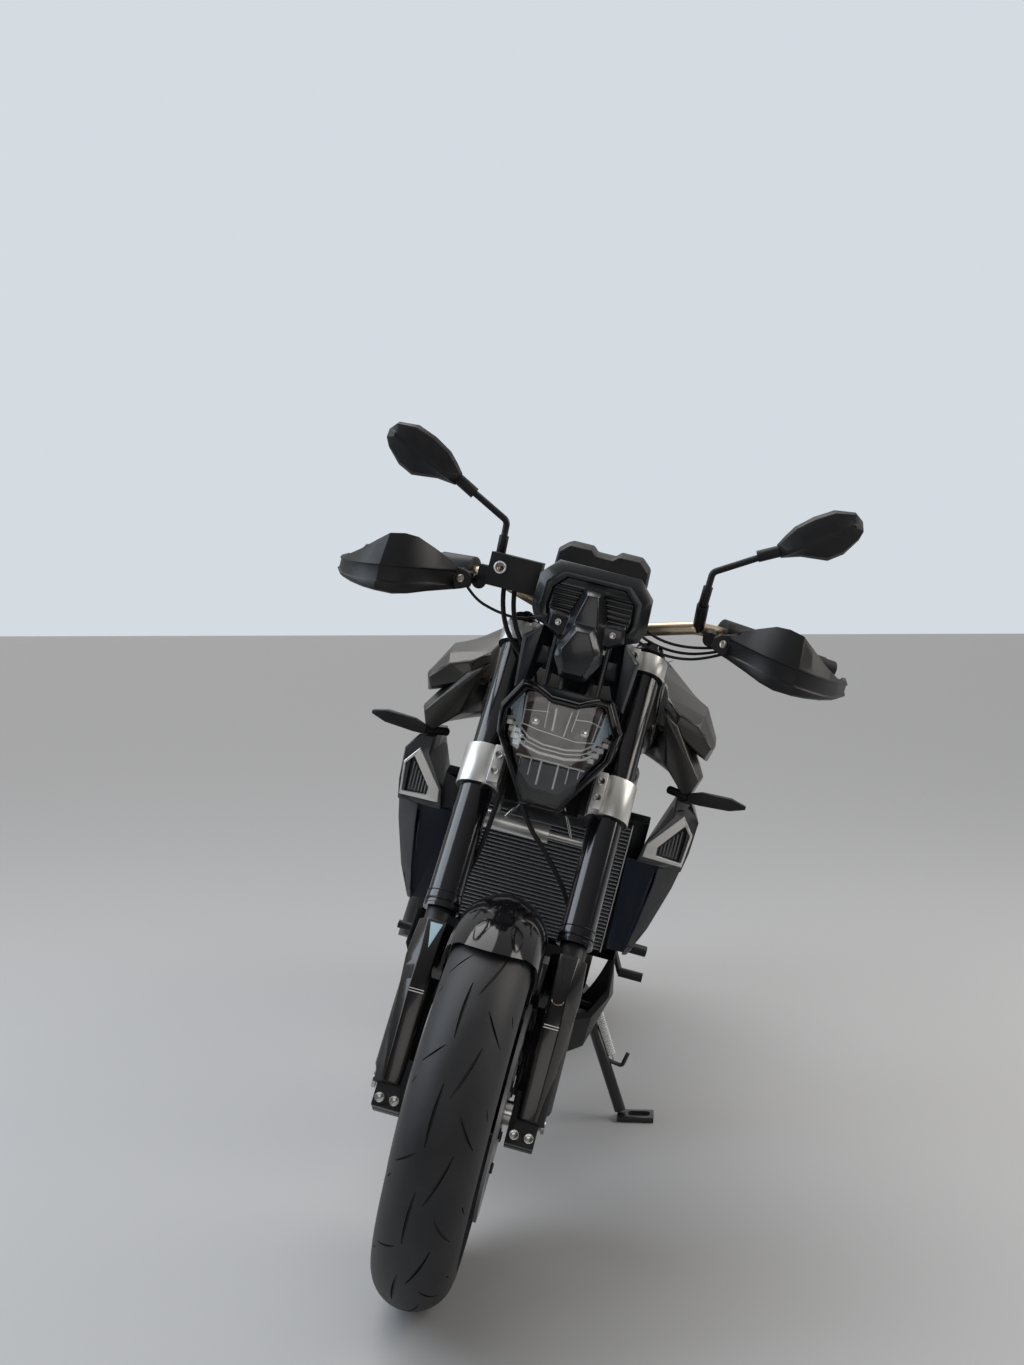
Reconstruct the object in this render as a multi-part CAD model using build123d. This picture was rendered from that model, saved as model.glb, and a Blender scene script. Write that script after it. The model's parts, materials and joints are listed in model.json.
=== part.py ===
from build123d import *
import math
import os

os.makedirs("parts", exist_ok=True)

# A middleweight roadster motorcycle leaning on its side stand.
# Sizes are in millimetres and degrees. The machine is modelled upright: the front tyre touches the
# ground at the origin, +Y points to the rear, +X to the rider's left and +Z up. It is leaned at the end.

# Wheels
WHEELBASE = 1518.0
FRONT_TYRE_R, FRONT_TYRE_W = 300.0, 120.0
REAR_TYRE_R, REAR_TYRE_W = 315.0, 180.0
FRONT_CROWN_R, REAR_CROWN_R = 60.0, 92.0
RIM_SEAT_R = 216.0
FRONT_RIM_W, REAR_RIM_W = 100.0, 150.0
AXLE_R = 12.5
AXLE_BORE_R = 8.0
RUN_FIT = 0.05
FRONT_DISC_R, REAR_DISC_R, DISC_T = 160.0, 132.5, 5.0
FRONT_DISC_X = 66.0
REAR_DISC_X = -103.0
SPOKES = 5

# Steering
RAKE, TRAIL = 29.5, 114.3
STEER_LOCK = 34.0
LEG_X = 106.0
OUTER_TUBE_R, INNER_TUBE_R = 27.0, 21.5
STEM_R = 15.0
LOWER_CLAMP = (793.0, 860.0)
UPPER_CLAMP = (1050.0, 1084.0)
TUBE_END = 585.0
TUBE_TOP = 1098.0
SHROUD_TOP, SHROUD_END = 560.0, 309.0
LUG_END = 273.0

# Drive side and swinging arm
CHAIN_X = 108.0
PIVOT_Y, PIVOT_Z = 940.0, 400.0
FRONT_SPROCKET_Y, FRONT_SPROCKET_Z = 862.0, 432.0
FRONT_SPROCKET_R, REAR_SPROCKET_R = 38.0, 100.0
CHAIN_PITCH = 15.875

# How it parks
LEAN = 14.4
STAND_SWING = 97.0

RAKE_SIN, RAKE_COS = math.sin(math.radians(RAKE)), math.cos(math.radians(RAKE))
AXLE_UP = TRAIL * RAKE_SIN + FRONT_TYRE_R * RAKE_COS
LEG_BACK = TRAIL * RAKE_COS - FRONT_TYRE_R * RAKE_SIN

# The steering frame: x across, y to the rear square to the steering axis, z along the axis.
STEER = Plane(origin=(0, -TRAIL, 0), x_dir=(1, 0, 0), z_dir=(0, RAKE_SIN, RAKE_COS))


def slab(x0, x1, y0, y1, z0, z1):
    size = Box(abs(x1 - x0), abs(y1 - y0), abs(z1 - z0))
    return Pos((x0 + x1) / 2, (y0 + y1) / 2, (z0 + z1) / 2) * size


def rod(start, end, radius):
    start, end = Vector(*start), Vector(*end)
    along = end - start
    body = Cylinder(radius, along.length, align=(Align.CENTER, Align.CENTER, Align.MIN))
    return Plane(origin=start, z_dir=along) * body


def pipe(points, bends, radius):
    path = FilletPolyline(*points, radius=bends)
    return sweep(Plane(origin=path @ 0, z_dir=path % 0) * Circle(radius), path=path)


def polygon(plane, points):
    return plane * make_face(Polyline(*points, close=True))


def prism_x(points, x0, x1):
    # A side outline of (y, z) points, thickened from x0 to x1.
    side = Plane(origin=(x0, 0, 0), x_dir=(0, 1, 0), z_dir=(1, 0, 0))
    return extrude(polygon(side, points), amount=x1 - x0)


def hull_y(stations):
    # Front outlines of (x, z) points at a list of y places, joined by flat and ruled faces.
    faces = []
    for y, points in stations:
        front = Plane(origin=(0, y, 0), x_dir=(1, 0, 0), z_dir=(0, -1, 0))
        faces.append(polygon(front, points))
    return loft(faces, ruled=True)


def hull_z(stations):
    faces = [polygon(Plane.XY.offset(z), points) for z, points in stations]
    return loft(faces, ruled=True)


def hull_x(stations):
    faces = []
    for x, points in stations:
        side = Plane(origin=(x, 0, 0), x_dir=(0, 1, 0), z_dir=(1, 0, 0))
        faces.append(polygon(side, points))
    return loft(faces, ruled=True)


def mirrored(points):
    return points + [(-x, z) for x, z in reversed(points)]


def both_sides(solid):
    return [solid, mirror(solid, about=Plane.YZ)]


def join(*solids):
    whole = solids[0]
    for piece in solids[1:]:
        whole = whole + piece
    return whole


def wheel_turn(profile, angle=360.0):
    # Profile of (x, r) points turned about the wheel's own axle at the origin.
    face = make_face(Polyline(*profile, close=True))
    return revolve(face, axis=Axis.X, revolution_arc=angle)


def at_front_axle(solid):
    return Pos(0, 0, FRONT_TYRE_R) * solid


def at_rear_axle(solid):
    return Pos(0, WHEELBASE, REAR_TYRE_R) * solid


parts = {}

# Tyres: an arc crown, flat sidewalls and an open bead


def tyre(radius, width, crown, rim_w):
    half = width / 2
    crown_half = half * 0.97
    drop = crown - math.sqrt(crown**2 - crown_half**2)
    seat = rim_w / 2 - 6
    outline = [
        Line((-seat, RIM_SEAT_R), (-half, radius - drop - 24)),
        Line((-half, radius - drop - 24), (-crown_half, radius - drop)),
        RadiusArc((-crown_half, radius - drop), (crown_half, radius - drop), crown),
        Line((crown_half, radius - drop), (half, radius - drop - 24)),
        Line((half, radius - drop - 24), (seat, RIM_SEAT_R)),
        Line((seat, RIM_SEAT_R), (seat - 9, RIM_SEAT_R)),
        Line((seat - 9, RIM_SEAT_R), (seat - 2, RIM_SEAT_R + 20)),
        Line((seat - 2, RIM_SEAT_R + 20), (0, radius - 10)),
        Line((0, radius - 10), (2 - seat, RIM_SEAT_R + 20)),
        Line((2 - seat, RIM_SEAT_R + 20), (9 - seat, RIM_SEAT_R)),
        Line((9 - seat, RIM_SEAT_R), (-seat, RIM_SEAT_R)),
    ]
    return revolve(make_face(Wire(Curve(children=outline).edges())), axis=Axis.X)


parts["front_tyre"] = at_front_axle(tyre(FRONT_TYRE_R, FRONT_TYRE_W, FRONT_CROWN_R, FRONT_RIM_W))
parts["rear_tyre"] = at_rear_axle(tyre(REAR_TYRE_R, REAR_TYRE_W, REAR_CROWN_R, REAR_RIM_W))


# Cast rims with a well, twin spokes and a hub


def rim(rim_w, hub_r, hub_x0, hub_x1):
    half = rim_w / 2
    hoop = wheel_turn([
        (-half, RIM_SEAT_R + 10), (-half + 6, RIM_SEAT_R + 10), (-half + 6, RIM_SEAT_R),
        (-half + 22, RIM_SEAT_R), (-half + 30, RIM_SEAT_R - 14), (half - 30, RIM_SEAT_R - 14),
        (half - 22, RIM_SEAT_R), (half - 6, RIM_SEAT_R), (half - 6, RIM_SEAT_R + 10),
        (half, RIM_SEAT_R + 10), (half, RIM_SEAT_R - 6), (half - 26, RIM_SEAT_R - 22),
        (26 - half, RIM_SEAT_R - 22), (-half, RIM_SEAT_R - 6),
    ])
    body = hoop + rod((hub_x0, 0, 0), (hub_x1, 0, 0), hub_r)
    arm = hull_z([
        (hub_r - 8, [(-22, -15), (22, -15), (22, 15), (-22, 15)]),
        (120, [(-15, -9), (15, -9), (15, 9), (-15, 9)]),
        (RIM_SEAT_R - 18, [(-18, -10), (18, -10), (18, 10), (-18, 10)]),
    ])
    for number in range(SPOKES):
        for splay in (-11.0, 11.0):
            body += Rot(X=number * 360 / SPOKES + splay) * arm
    return body - rod((hub_x0 - 1, 0, 0), (hub_x1 + 1, 0, 0), AXLE_R + RUN_FIT)


FRONT_HUB_X = FRONT_DISC_X - DISC_T / 2
parts["front_rim"] = at_front_axle(rim(FRONT_RIM_W, 36.0, -FRONT_HUB_X, FRONT_HUB_X))
parts["rear_rim"] = at_rear_axle(rim(REAR_RIM_W, 42.0, REAR_DISC_X + DISC_T / 2, CHAIN_X - 3))


def disc(radius, x):
    plate = rod((x - DISC_T / 2, 0, 0), (x + DISC_T / 2, 0, 0), radius)
    for angle in range(0, 360, 45):
        window = hull_z([(70, [(-9, -14), (9, -14), (9, 14), (-9, 14)]),
                         (radius - 42, [(-9, -26), (9, -26), (9, 26), (-9, 26)])])
        plate -= Rot(X=angle) * (Pos(x, 0, 0) * window)
    return plate - rod((x - 9, 0, 0), (x + 9, 0, 0), 26.0)


discs = [at_front_axle(disc(FRONT_DISC_R, x)) for x in (-FRONT_DISC_X, FRONT_DISC_X)]
parts["front_discs"] = Compound(children=discs)
parts["rear_disc"] = at_rear_axle(disc(REAR_DISC_R, REAR_DISC_X))

# Rear sprocket: its teeth end inside the rollers of the chain
sprocket = rod((CHAIN_X - 3, 0, 0), (CHAIN_X + 3, 0, 0), REAR_SPROCKET_R - 6.5)
for angle in range(0, 360, 60):
    sprocket -= Rot(X=angle) * rod((CHAIN_X - 9, 0, 66), (CHAIN_X + 9, 0, 66), 17)
sprocket -= rod((CHAIN_X - 9, 0, 0), (CHAIN_X + 9, 0, 0), 24)
parts["rear_sprocket"] = at_rear_axle(sprocket)

# Fork: everything here is drawn in the steering frame, then set on it


def on_steering(solid):
    return STEER * solid


def leg(radius, low, high, side):
    return rod((side * LEG_X, LEG_BACK, low), (side * LEG_X, LEG_BACK, high), radius)


TUBE_PROFILE = [  # radius, from, to
    (OUTER_TUBE_R, TUBE_END, TUBE_TOP), (OUTER_TUBE_R + 1.5, TUBE_END, TUBE_END + 8),
    (OUTER_TUBE_R + 1.0, TUBE_END + 14, TUBE_END + 22), (23.0, TUBE_TOP, TUBE_TOP + 8),
    (8.0, TUBE_TOP + 8, TUBE_TOP + 18),
]
SOCKET_R = 29.0
LUG_X, SHOULDER_R = 79.0, 18.0
AXLE_END_X, AXLE_HEAD_R = LEG_X + 20, 17.0
tubes, bottoms, covers = [], [], []
for side in (-1, 1):
    tubes.append(on_steering(join(*[leg(r, low, high, side) for r, low, high in TUBE_PROFILE])))
    # Cast bottom: leg socket, axle lug with a split, two pinch bolts, two caliper arms
    foot = leg(SOCKET_R, AXLE_UP - 10, 470, side)
    foot += slab(side * LUG_X, side * 122, LEG_BACK - 24, LEG_BACK + 30, LUG_END, AXLE_UP + 32)
    foot += leg(INNER_TUBE_R, 470, TUBE_END, side)
    covered = foot
    foot -= slab(side * 78, side * 123, LEG_BACK - 2, LEG_BACK + 2, LUG_END - 1, AXLE_UP)
    for up in (AXLE_UP + 46, AXLE_UP + 128):
        foot += slab(side * 84, side * 100, LEG_BACK, LEG_BACK + 60, up - 11, up + 11)
    for x in (90, 112):
        foot += rod((side * x, LEG_BACK - 28, LUG_END + 12), (side * x, LEG_BACK - 20, LUG_END + 12), 6.5)
    axle_room = rod((side * 70, LEG_BACK, AXLE_UP), (side * 150, LEG_BACK, AXLE_UP), AXLE_R)
    axle_room += rod((side * 70, LEG_BACK, AXLE_UP), (side * LUG_X, LEG_BACK, AXLE_UP), SHOULDER_R)
    axle_room += rod((side * AXLE_END_X, LEG_BACK, AXLE_UP), (side * 150, LEG_BACK, AXLE_UP), AXLE_HEAD_R)
    bottoms.append(on_steering(foot - axle_room))
    # Faceted cover over the front of the leg
    cover = hull_z([(up, [(side * x, y) for x, y in ring]) for up, ring in (
        (SHROUD_END, [(84, -40), (84, -66), (92, -80), (114, -80), (124, -66), (124, -40)]),
        (443, [(80, -36), (80, -70), (90, -90), (116, -90), (132, -68), (132, -36)]),
        (500, [(74, -30), (74, -72), (90, -98), (114, -98), (136, -72), (136, -30)]),
        (SHROUD_TOP, [(76, -40), (76, -68), (90, -86), (118, -86), (132, -68), (132, -40)]),
    )])
    covers.append(on_steering(cover - covered - axle_room))
parts["fork_outer_tubes"] = Compound(children=tubes)
parts["fork_bottoms"] = Compound(children=bottoms)
parts["fork_covers"] = Compound(children=covers)

axle = rod((-AXLE_END_X, 0, 0), (AXLE_END_X, 0, 0), AXLE_R)
for side in (-1, 1):
    axle += rod((side * (FRONT_HUB_X + 1.5), 0, 0), (side * LUG_X, 0, 0), SHOULDER_R)
    axle += rod((side * AXLE_END_X, 0, 0), (side * (AXLE_END_X + 5), 0, 0), AXLE_HEAD_R)
axle -= rod((-AXLE_END_X - 9, 0, 0), (AXLE_END_X + 9, 0, 0), AXLE_BORE_R)
parts["front_axle"] = at_front_axle(axle)


def clamp(low, high, ring_r, web_front, web_back, web_x):
    web = [(-web_x, web_front), (web_x, web_front), (web_x, -10), (34, web_back), (-34, web_back), (-web_x, -10)]
    body = hull_z([(low, web), (high, web)])
    for side in (-1, 1):
        body += leg(ring_r, low, high, side)
        ear = slab(side * 74, side * 92, LEG_BACK - ring_r - 8, LEG_BACK, low + 2, high - 2)
        body += ear
    return body


lower = clamp(*LOWER_CLAMP, 35.0, -52, 24, 96)
lower -= slab(-60, 60, -60, -34, LOWER_CLAMP[0] - 1, LOWER_CLAMP[1] + 1)
stem = rod((0, 0, LOWER_CLAMP[0]), (0, 0, UPPER_CLAMP[1] + 9), STEM_R)
lower += stem
upper = clamp(*UPPER_CLAMP, 34.0, -50, 22, 96)
upper -= slab(-66, 66, -60, -30, UPPER_CLAMP[0] - 1, UPPER_CLAMP[1] + 1)
for side in (-1, 1):
    upper += rod((side * 50, LEG_BACK + 4, UPPER_CLAMP[0]), (side * 50, LEG_BACK + 4, 1118), 15.0)
upper += rod((0, 0, UPPER_CLAMP[1]), (0, 0, UPPER_CLAMP[1] + 7), 21.0)
for side in (-1, 1):
    for solid, low, high in (("low", *LOWER_CLAMP), ("high", *UPPER_CLAMP)):
        if solid == "low":
            lower -= leg(OUTER_TUBE_R, low - 1, high + 1, side)
        else:
            upper -= leg(OUTER_TUBE_R, low - 1, high + 1, side)
parts["lower_clamp"] = on_steering(lower)

# Brake calipers behind the legs
calipers = []
for side in (-1, 1):
    block = Box(52, 128, 56).translate(Vector(0, 0, 145))
    block -= Pos(0, 0, FRONT_DISC_R - 38) * Box(DISC_T + 3, 200, 84)
    block = Rot(X=-40.8) * block
    block = Pos(side * FRONT_DISC_X, LEG_BACK, AXLE_UP) * block
    calipers.append(on_steering(block))
parts["front_calipers"] = Compound(children=calipers)

# Front mudguard: a domed shell at one clearance from the tyre, cut level at the front, held by a pad on each leg
GUARD_GAP, GUARD_T, GUARD_SKIRT = 6.0, 3.0, 18.0
GUARD_FRONT, GUARD_REAR = 38.0, 58.0
crown_centre = FRONT_TYRE_R - FRONT_CROWN_R
inner_r, outer_r = FRONT_CROWN_R + GUARD_GAP, FRONT_CROWN_R + GUARD_GAP + GUARD_T
skirt = crown_centre - GUARD_SKIRT
guard_edges = [
    Line((-outer_r, skirt), (-outer_r, crown_centre)),
    RadiusArc((-outer_r, crown_centre), (0, crown_centre + outer_r), outer_r),
    RadiusArc((0, crown_centre + outer_r), (outer_r, crown_centre), outer_r),
    Line((outer_r, crown_centre), (outer_r, skirt)),
    Line((outer_r, skirt), (inner_r, skirt)),
    Line((inner_r, skirt), (inner_r, crown_centre)),
    RadiusArc((inner_r, crown_centre), (0, crown_centre + inner_r), -inner_r),
    RadiusArc((0, crown_centre + inner_r), (-inner_r, crown_centre), -inner_r),
    Line((-inner_r, crown_centre), (-inner_r, skirt)),
    Line((-inner_r, skirt), (-outer_r, skirt)),
]
guard_face = make_face(Wire(Curve(children=guard_edges).edges()))
guard = Rot(X=90 - GUARD_REAR) * revolve(guard_face, axis=Axis.X, revolution_arc=GUARD_REAR + GUARD_FRONT)
chin = prism_x([(-230, 300), (-185, 276), (-122, 262), (-96, 246), (-60, 120), (-230, 100)], -100, 100)
guard = at_front_axle(guard - chin)
for side in (-1, 1):
    pad = slab(side * (outer_r - GUARD_T), side * 92, LEG_BACK - 12, LEG_BACK + 36, 556, 576)
    guard += on_steering(pad)
parts["front_mudguard"] = guard

# Handlebar, held by two caps on the upper clamp
BAR_R = 11.0
BAR = [(395, 482, 1025), (238, 414, 1040), (170, 388, 1040), (62, 405, 1008)]
bar_points = BAR + [(-x, y, z) for x, y, z in reversed(BAR)]
parts["handlebar"] = pipe(bar_points, 24, BAR_R)
upper = on_steering(upper)
for side in (-1, 1):
    upper += slab(side * 36, side * 62, 384, 424, 990, 1026)
parts["upper_clamp"] = upper - parts["handlebar"] - on_steering(rod((0, 0, 1000), (0, 0, 1120), STEM_R))


def along_grip(side, share):
    a, b = Vector(238, 414, 1040), Vector(395, 482, 1025)
    p = a + (b - a) * share
    return (side * p.X, p.Y, p.Z)


grips = []
for name, side in (("left", 1), ("right", -1)):
    grip = rod(along_grip(side, 0.2), along_grip(side, 1.0), 16.5)
    grip += rod(along_grip(side, 0.2), along_grip(side, 0.24), 21.0)
    grip += rod(along_grip(side, 1.0), along_grip(side, 1.12), 15.0)
    grips.append(grip)
    controls = rod(along_grip(side, -0.16), along_grip(side, 0.2), 23.0)
    controls += pipe([(side * 196, 372, 1030), (side * 214, 350, 1028), (side * 300, 366, 1012),
                      (side * 392, 408, 1004)], 12, 6.0)
    controls += rod((side * 196, 400, 1036), (side * 196, 358, 1028), 12.0)
    if name == "right":
        controls += slab(-179, -95, 292, 352, 1030, 1084) + rod((-186, 350, 1046), (-186, 400, 1040), 13)
        controls += slab(-198, -165, 330, 372, 1032, 1058)
    parts[f"controls_{name}"] = controls - parts["handlebar"]
parts["grips"] = Compound(children=grips) - parts["handlebar"]

# Mirrors: bent stem, tapered cuff and a head with one ridge along its front
MIRROR_HEAD = [(0, 11), (16, 21), (35, 31), (68, 38), (102, 39), (133, 26), (140, 9), (137, -7), (126, -18),
               (97, -33), (70, -36), (31, -18), (0, -11)]
MIRROR_TILT = {"left": 30.0, "right": 19.0}
MIRROR_NECK = {"left": (266, 1194), "right": (264, 1183)}
MIRROR_RIDGE, MIRROR_RIM, MIRROR_BACK = 310.0, 331.0, 343.0


def mirror_ring(name, side, points, y):
    tilt = math.radians(MIRROR_TILT[name])
    neck_x, neck_z = MIRROR_NECK[name]
    ring = []
    for u, v in points:
        x = neck_x + u * math.cos(tilt) - v * math.sin(tilt)
        ring.append((side * x, neck_z + u * math.sin(tilt) + v * math.cos(tilt)))
    return y, ring


for name, side in (("left", 1), ("right", -1)):
    neck_x, neck_z = MIRROR_NECK[name]
    stem_path = [(side * 174, 384, 1036), (side * 171, 354, 1082), (side * 173, 350, 1136),
                 (side * neck_x, 334, neck_z)]
    post = pipe(stem_path, 12, 5.5)
    post += rod((side * 174, 388, 1040), (side * 171, 354, 1080), 10.0)
    post += rod((side * 171, 354, 1080), (side * 172, 352, 1112), 8.0)
    cuff_end = (side * (neck_x - 30), 338, neck_z - 16)
    post += rod(cuff_end, (side * (neck_x + 2), 334, neck_z + 1), 9.5)
    ridge = [(12 + 0.82 * u, -6 + 0.08 * u + (3 if v > 0 else -3)) for u, v in MIRROR_HEAD]
    shoulder = [(3 + 0.97 * u, 0.86 * v) for u, v in MIRROR_HEAD]
    back_ring = [(4 + 0.95 * u, 0.9 * v) for u, v in MIRROR_HEAD]
    head = hull_y([mirror_ring(name, side, ridge, MIRROR_RIDGE),
                   mirror_ring(name, side, shoulder, MIRROR_RIM - 10),
                   mirror_ring(name, side, MIRROR_HEAD, MIRROR_RIM),
                   mirror_ring(name, side, back_ring, MIRROR_BACK)])
    parts[f"mirror_{name}"] = post + head - parts["handlebar"] - parts[f"controls_{name}"]

# Hand guards: a moulded blade with an inset band, and a shield swelling above it
HAND_GUARDS = [  # x, front y, low z, band low, band top, top z
    (220, 266, 1010, 1017, 1042, 1050), (250, 208, 1001, 1014, 1038, 1070), (275, 181, 992, 1009, 1034, 1081),
    (300, 168, 986, 1004, 1030, 1082), (330, 164, 985, 1000, 1026, 1077), (354, 178, 985, 997, 1022, 1062),
    (380, 208, 986, 994, 1018, 1040), (404, 252, 988, 993, 1015, 1024), (428, 340, 991, 996, 1012, 1018),
    (434, 420, 994, 999, 1013, 1019),
]
GUARD_WALL, BAND_DEPTH = 9.0, 2.5


def guard_ring(number):
    x, y, low, band_low, band_top, top = HAND_GUARDS[number]
    before, after = HAND_GUARDS[max(number - 1, 0)], HAND_GUARDS[min(number + 1, len(HAND_GUARDS) - 1)]
    run = Vector(after[0] - before[0], after[1] - before[1], 0).normalized()
    back = 2.0 + 0.26 * (top - band_top)
    ring = [(-5, low), (0, low + 3), (0, band_low), (-BAND_DEPTH, band_low + 1.5), (-BAND_DEPTH, band_top - 1.5),
            (0, band_top), (-2, band_top + 4), (-back, top), (-back - 5, top - 1), (-GUARD_WALL - 2, band_top + 2),
            (-GUARD_WALL, low + 6), (-GUARD_WALL - 2, low)]
    plane = Plane(origin=(x, y, 0), x_dir=(run.Y, -run.X, 0), z_dir=(-run.X, -run.Y, 0))
    return polygon(plane, ring)


shell = loft([guard_ring(number) for number in range(len(HAND_GUARDS))], ruled=True)
shell += rod((HAND_GUARDS[0][0] + 10, HAND_GUARDS[0][1] - 6, 1030), (226, 416, 1038), 8.0)
guards = [mirror(shell, about=Plane.YZ) - parts["handlebar"] - parts["controls_right"],
          shell - parts["handlebar"] - parts["controls_left"]]
parts["hand_guards"] = Compound(children=guards)

# Headlamp between the legs: a notched bezel over a hollow bowl, and a lens of three panes above a lower one
LAMP_OUTLINE = [(33, 718), (74, 788), (93, 818), (98, 862), (72, 908), (50, 908), (22, 894)]


def shrink(points, factor, cz):
    return [(x * factor, cz + (z - cz) * factor) for x, z in points]


lamp_front = mirrored(LAMP_OUTLINE)
LENS_Z = 815
housing = hull_y([(166, shrink(lamp_front, 0.95, LENS_Z)), (182, lamp_front), (210, shrink(lamp_front, 0.92, 820)),
                  (252, shrink(lamp_front, 0.5, 850))])
housing -= hull_y([(150, shrink(lamp_front, 0.87, LENS_Z)), (196, shrink(lamp_front, 0.85, LENS_Z)),
                   (232, shrink(lamp_front, 0.36, 846))])
parts["headlamp_housing"] = housing
LENS_T = 4.0
PANES = {  # x, front y low, low z, front y high, high z
    "upper": [(-84, 182, 815, 184, 866), (-50, 162, 797, 170, 895), (-20, 160, 794, 169, 884),
              (20, 160, 794, 169, 884), (50, 162, 797, 170, 895), (84, 182, 815, 184, 866)],
    "lower": [(-70, 178, 788, 179, 804), (-44, 164, 752, 161, 792), (-27, 164, 728, 160, 789),
              (27, 164, 728, 160, 789), (44, 164, 752, 161, 792), (70, 178, 788, 179, 804)],
}
panes = []
for stations in PANES.values():
    rings = [(x, [(low_y, low), (high_y, high), (high_y + LENS_T, high), (low_y + LENS_T, low)])
             for x, low_y, low, high_y, high in stations]
    panes.append(hull_x(rings) - housing)
parts["headlamp_lens"] = Compound(children=panes)
bracket = []
for side in (-1, 1):
    plate = prism_x([(262, 752), (252, 780), (246, 850), (240, 1010), (330, 1046), (352, 1000), (398, 966), (392, 930),
                     (345, 925), (300, 880), (296, 752)], side * 40, side * 46)
    bracket.append(plate)
    ear = hull_y([(250, [(side * x, z) for x, z in ((66, 990), (90, 966), (86, 888), (74, 900), (70, 948))]),
                  (262, [(side * x, z) for x, z in ((64, 996), (96, 968), (90, 884), (72, 898), (66, 950))]),
                  (280, [(side * x, z) for x, z in ((46, 996), (90, 970), (84, 890), (66, 900), (46, 950))])])
    bracket.append(ear)
    bracket.append(slab(side * 40, side * 72, 266, 278, 930, 960))
bracket = join(*bracket, slab(-46, 46, 244, 252, 830, 900))

# Nose cover: a ridged top with two wings, and a chin under it
nose = hull_y([(206, mirrored([(20, 978), (18, 1016), (8, 1056)])),
               (226, mirrored([(34, 978), (27, 1020), (13, 1064)])),
               (246, mirrored([(40, 976), (32, 1020), (16, 1066)]))])
for side in (-1, 1):
    wing = [(24, 984), (38, 979), (64, 994), (62, 1022), (26, 1020)]
    front_wing = [(26, 990), (38, 984), (58, 997), (56, 1014), (26, 1014)]
    nose += hull_y([(226, [(side * x, z) for x, z in front_wing]), (234, [(side * x, z) for x, z in wing]),
                    (246, [(side * x, z) for x, z in wing])])
nose += hull_y([(176, mirrored([(14, 934), (22, 956), (26, 968), (10, 1000)])),
                (190, mirrored([(20, 924), (36, 954), (34, 974), (15, 1008)])),
                (226, mirrored([(22, 926), (38, 956), (36, 976), (16, 1010)]))])
parts["nose_cover"] = nose

# Fly screen: a chamfered frame round a recess with louvres each side of the nose
SCREEN = [(60, 990), (85, 1000), (94, 1020), (92, 1072), (66, 1099)]
screen_rim = mirrored([(52, 1000), (76, 1008), (80, 1024), (77, 1062), (54, 1084)])
screen_well = mirrored([(44, 1006), (67, 1012), (70, 1026), (67, 1056), (48, 1076)])
screen = hull_y([(240, screen_rim), (252, mirrored(SCREEN)), (268, mirrored([(x - 3, z) for x, z in SCREEN]))])
screen -= hull_y([(238, screen_well), (252, shrink(screen_well, 0.96, 1040))])
LOUVRES, LOUVRE_PITCH = 6, 8.0
for number in range(LOUVRES):
    z = 1018 + number * LOUVRE_PITCH
    for side in (-1, 1):
        screen += slab(side * 20, side * 62, 244, 253, z, z + 3)
parts["fly_screen"] = screen - parts["nose_cover"]

# Instrument: a hood with two humps
HOOD = [(76, 1046), (77, 1088), (76, 1114), (60, 1128), (25, 1128), (17, 1120)]
parts["instrument"] = hull_y([(268, mirrored([(x - 3, z - 4) for x, z in HOOD])),
                              (300, mirrored([(x, z + 2) for x, z in HOOD])),
                              (345, mirrored([(x - 2, z + 4) for x, z in HOOD]))])
for name in ("headlamp_housing", "nose_cover", "fly_screen", "instrument", "lower_clamp", "upper_clamp"):
    bracket -= parts[name]
parts["lamp_bracket"] = bracket
damper = rod((-85, 0, 769), (22, 0, 769), 15.0) + rod((22, 0, 769), (92, 0, 769), 6.0)
for x in (-70, 84):
    damper += slab(x - 6, x + 6, -12, 12, 762, LOWER_CLAMP[0])
parts["steering_damper"] = on_steering(Pos(0, 10, 0) * damper)

# Front brake hoses, in the steering frame
HOSE_R, HOSE_BEND = 4.0, 16.0
HOSES = [  # x, back, along the steering axis
    [(-150, -120, 1114.5), (-142, -96, 1060), (-66, -72, 1000), (-66, -66, 720), (-92, 2, 640), (-90, 8, 560),
     (-78, 50, 458)],
    [(-132, -120, 1114.5), (-124, -98, 1060), (-52, -78, 1000), (-52, -72, 790), (60, -30, 690), (92, 2, 640),
     (90, 8, 560), (78, 50, 458)],
]
hoses = [on_steering(pipe(path, HOSE_BEND, HOSE_R)) - parts["front_calipers"] for path in HOSES]
parts["brake_hoses"] = Compound(children=hoses)

# Where the radiator stands, drawn upright again
RAD_TOP, RAD_LOW = (402, 690), (452, 452)
RAD_CORE_X, RAD_X, RAD_T = 150.0, 178.0, 36.0
rad_len = math.dist(RAD_TOP, RAD_LOW)
RAD = Plane(origin=(0, RAD_LOW[0], RAD_LOW[1]), x_dir=(1, 0, 0),
            z_dir=(0, RAD_TOP[0] - RAD_LOW[0], RAD_TOP[1] - RAD_LOW[1]))


def at_radiator(x, back, up):
    return tuple((RAD * Pos(x, back, up)).position)


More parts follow.
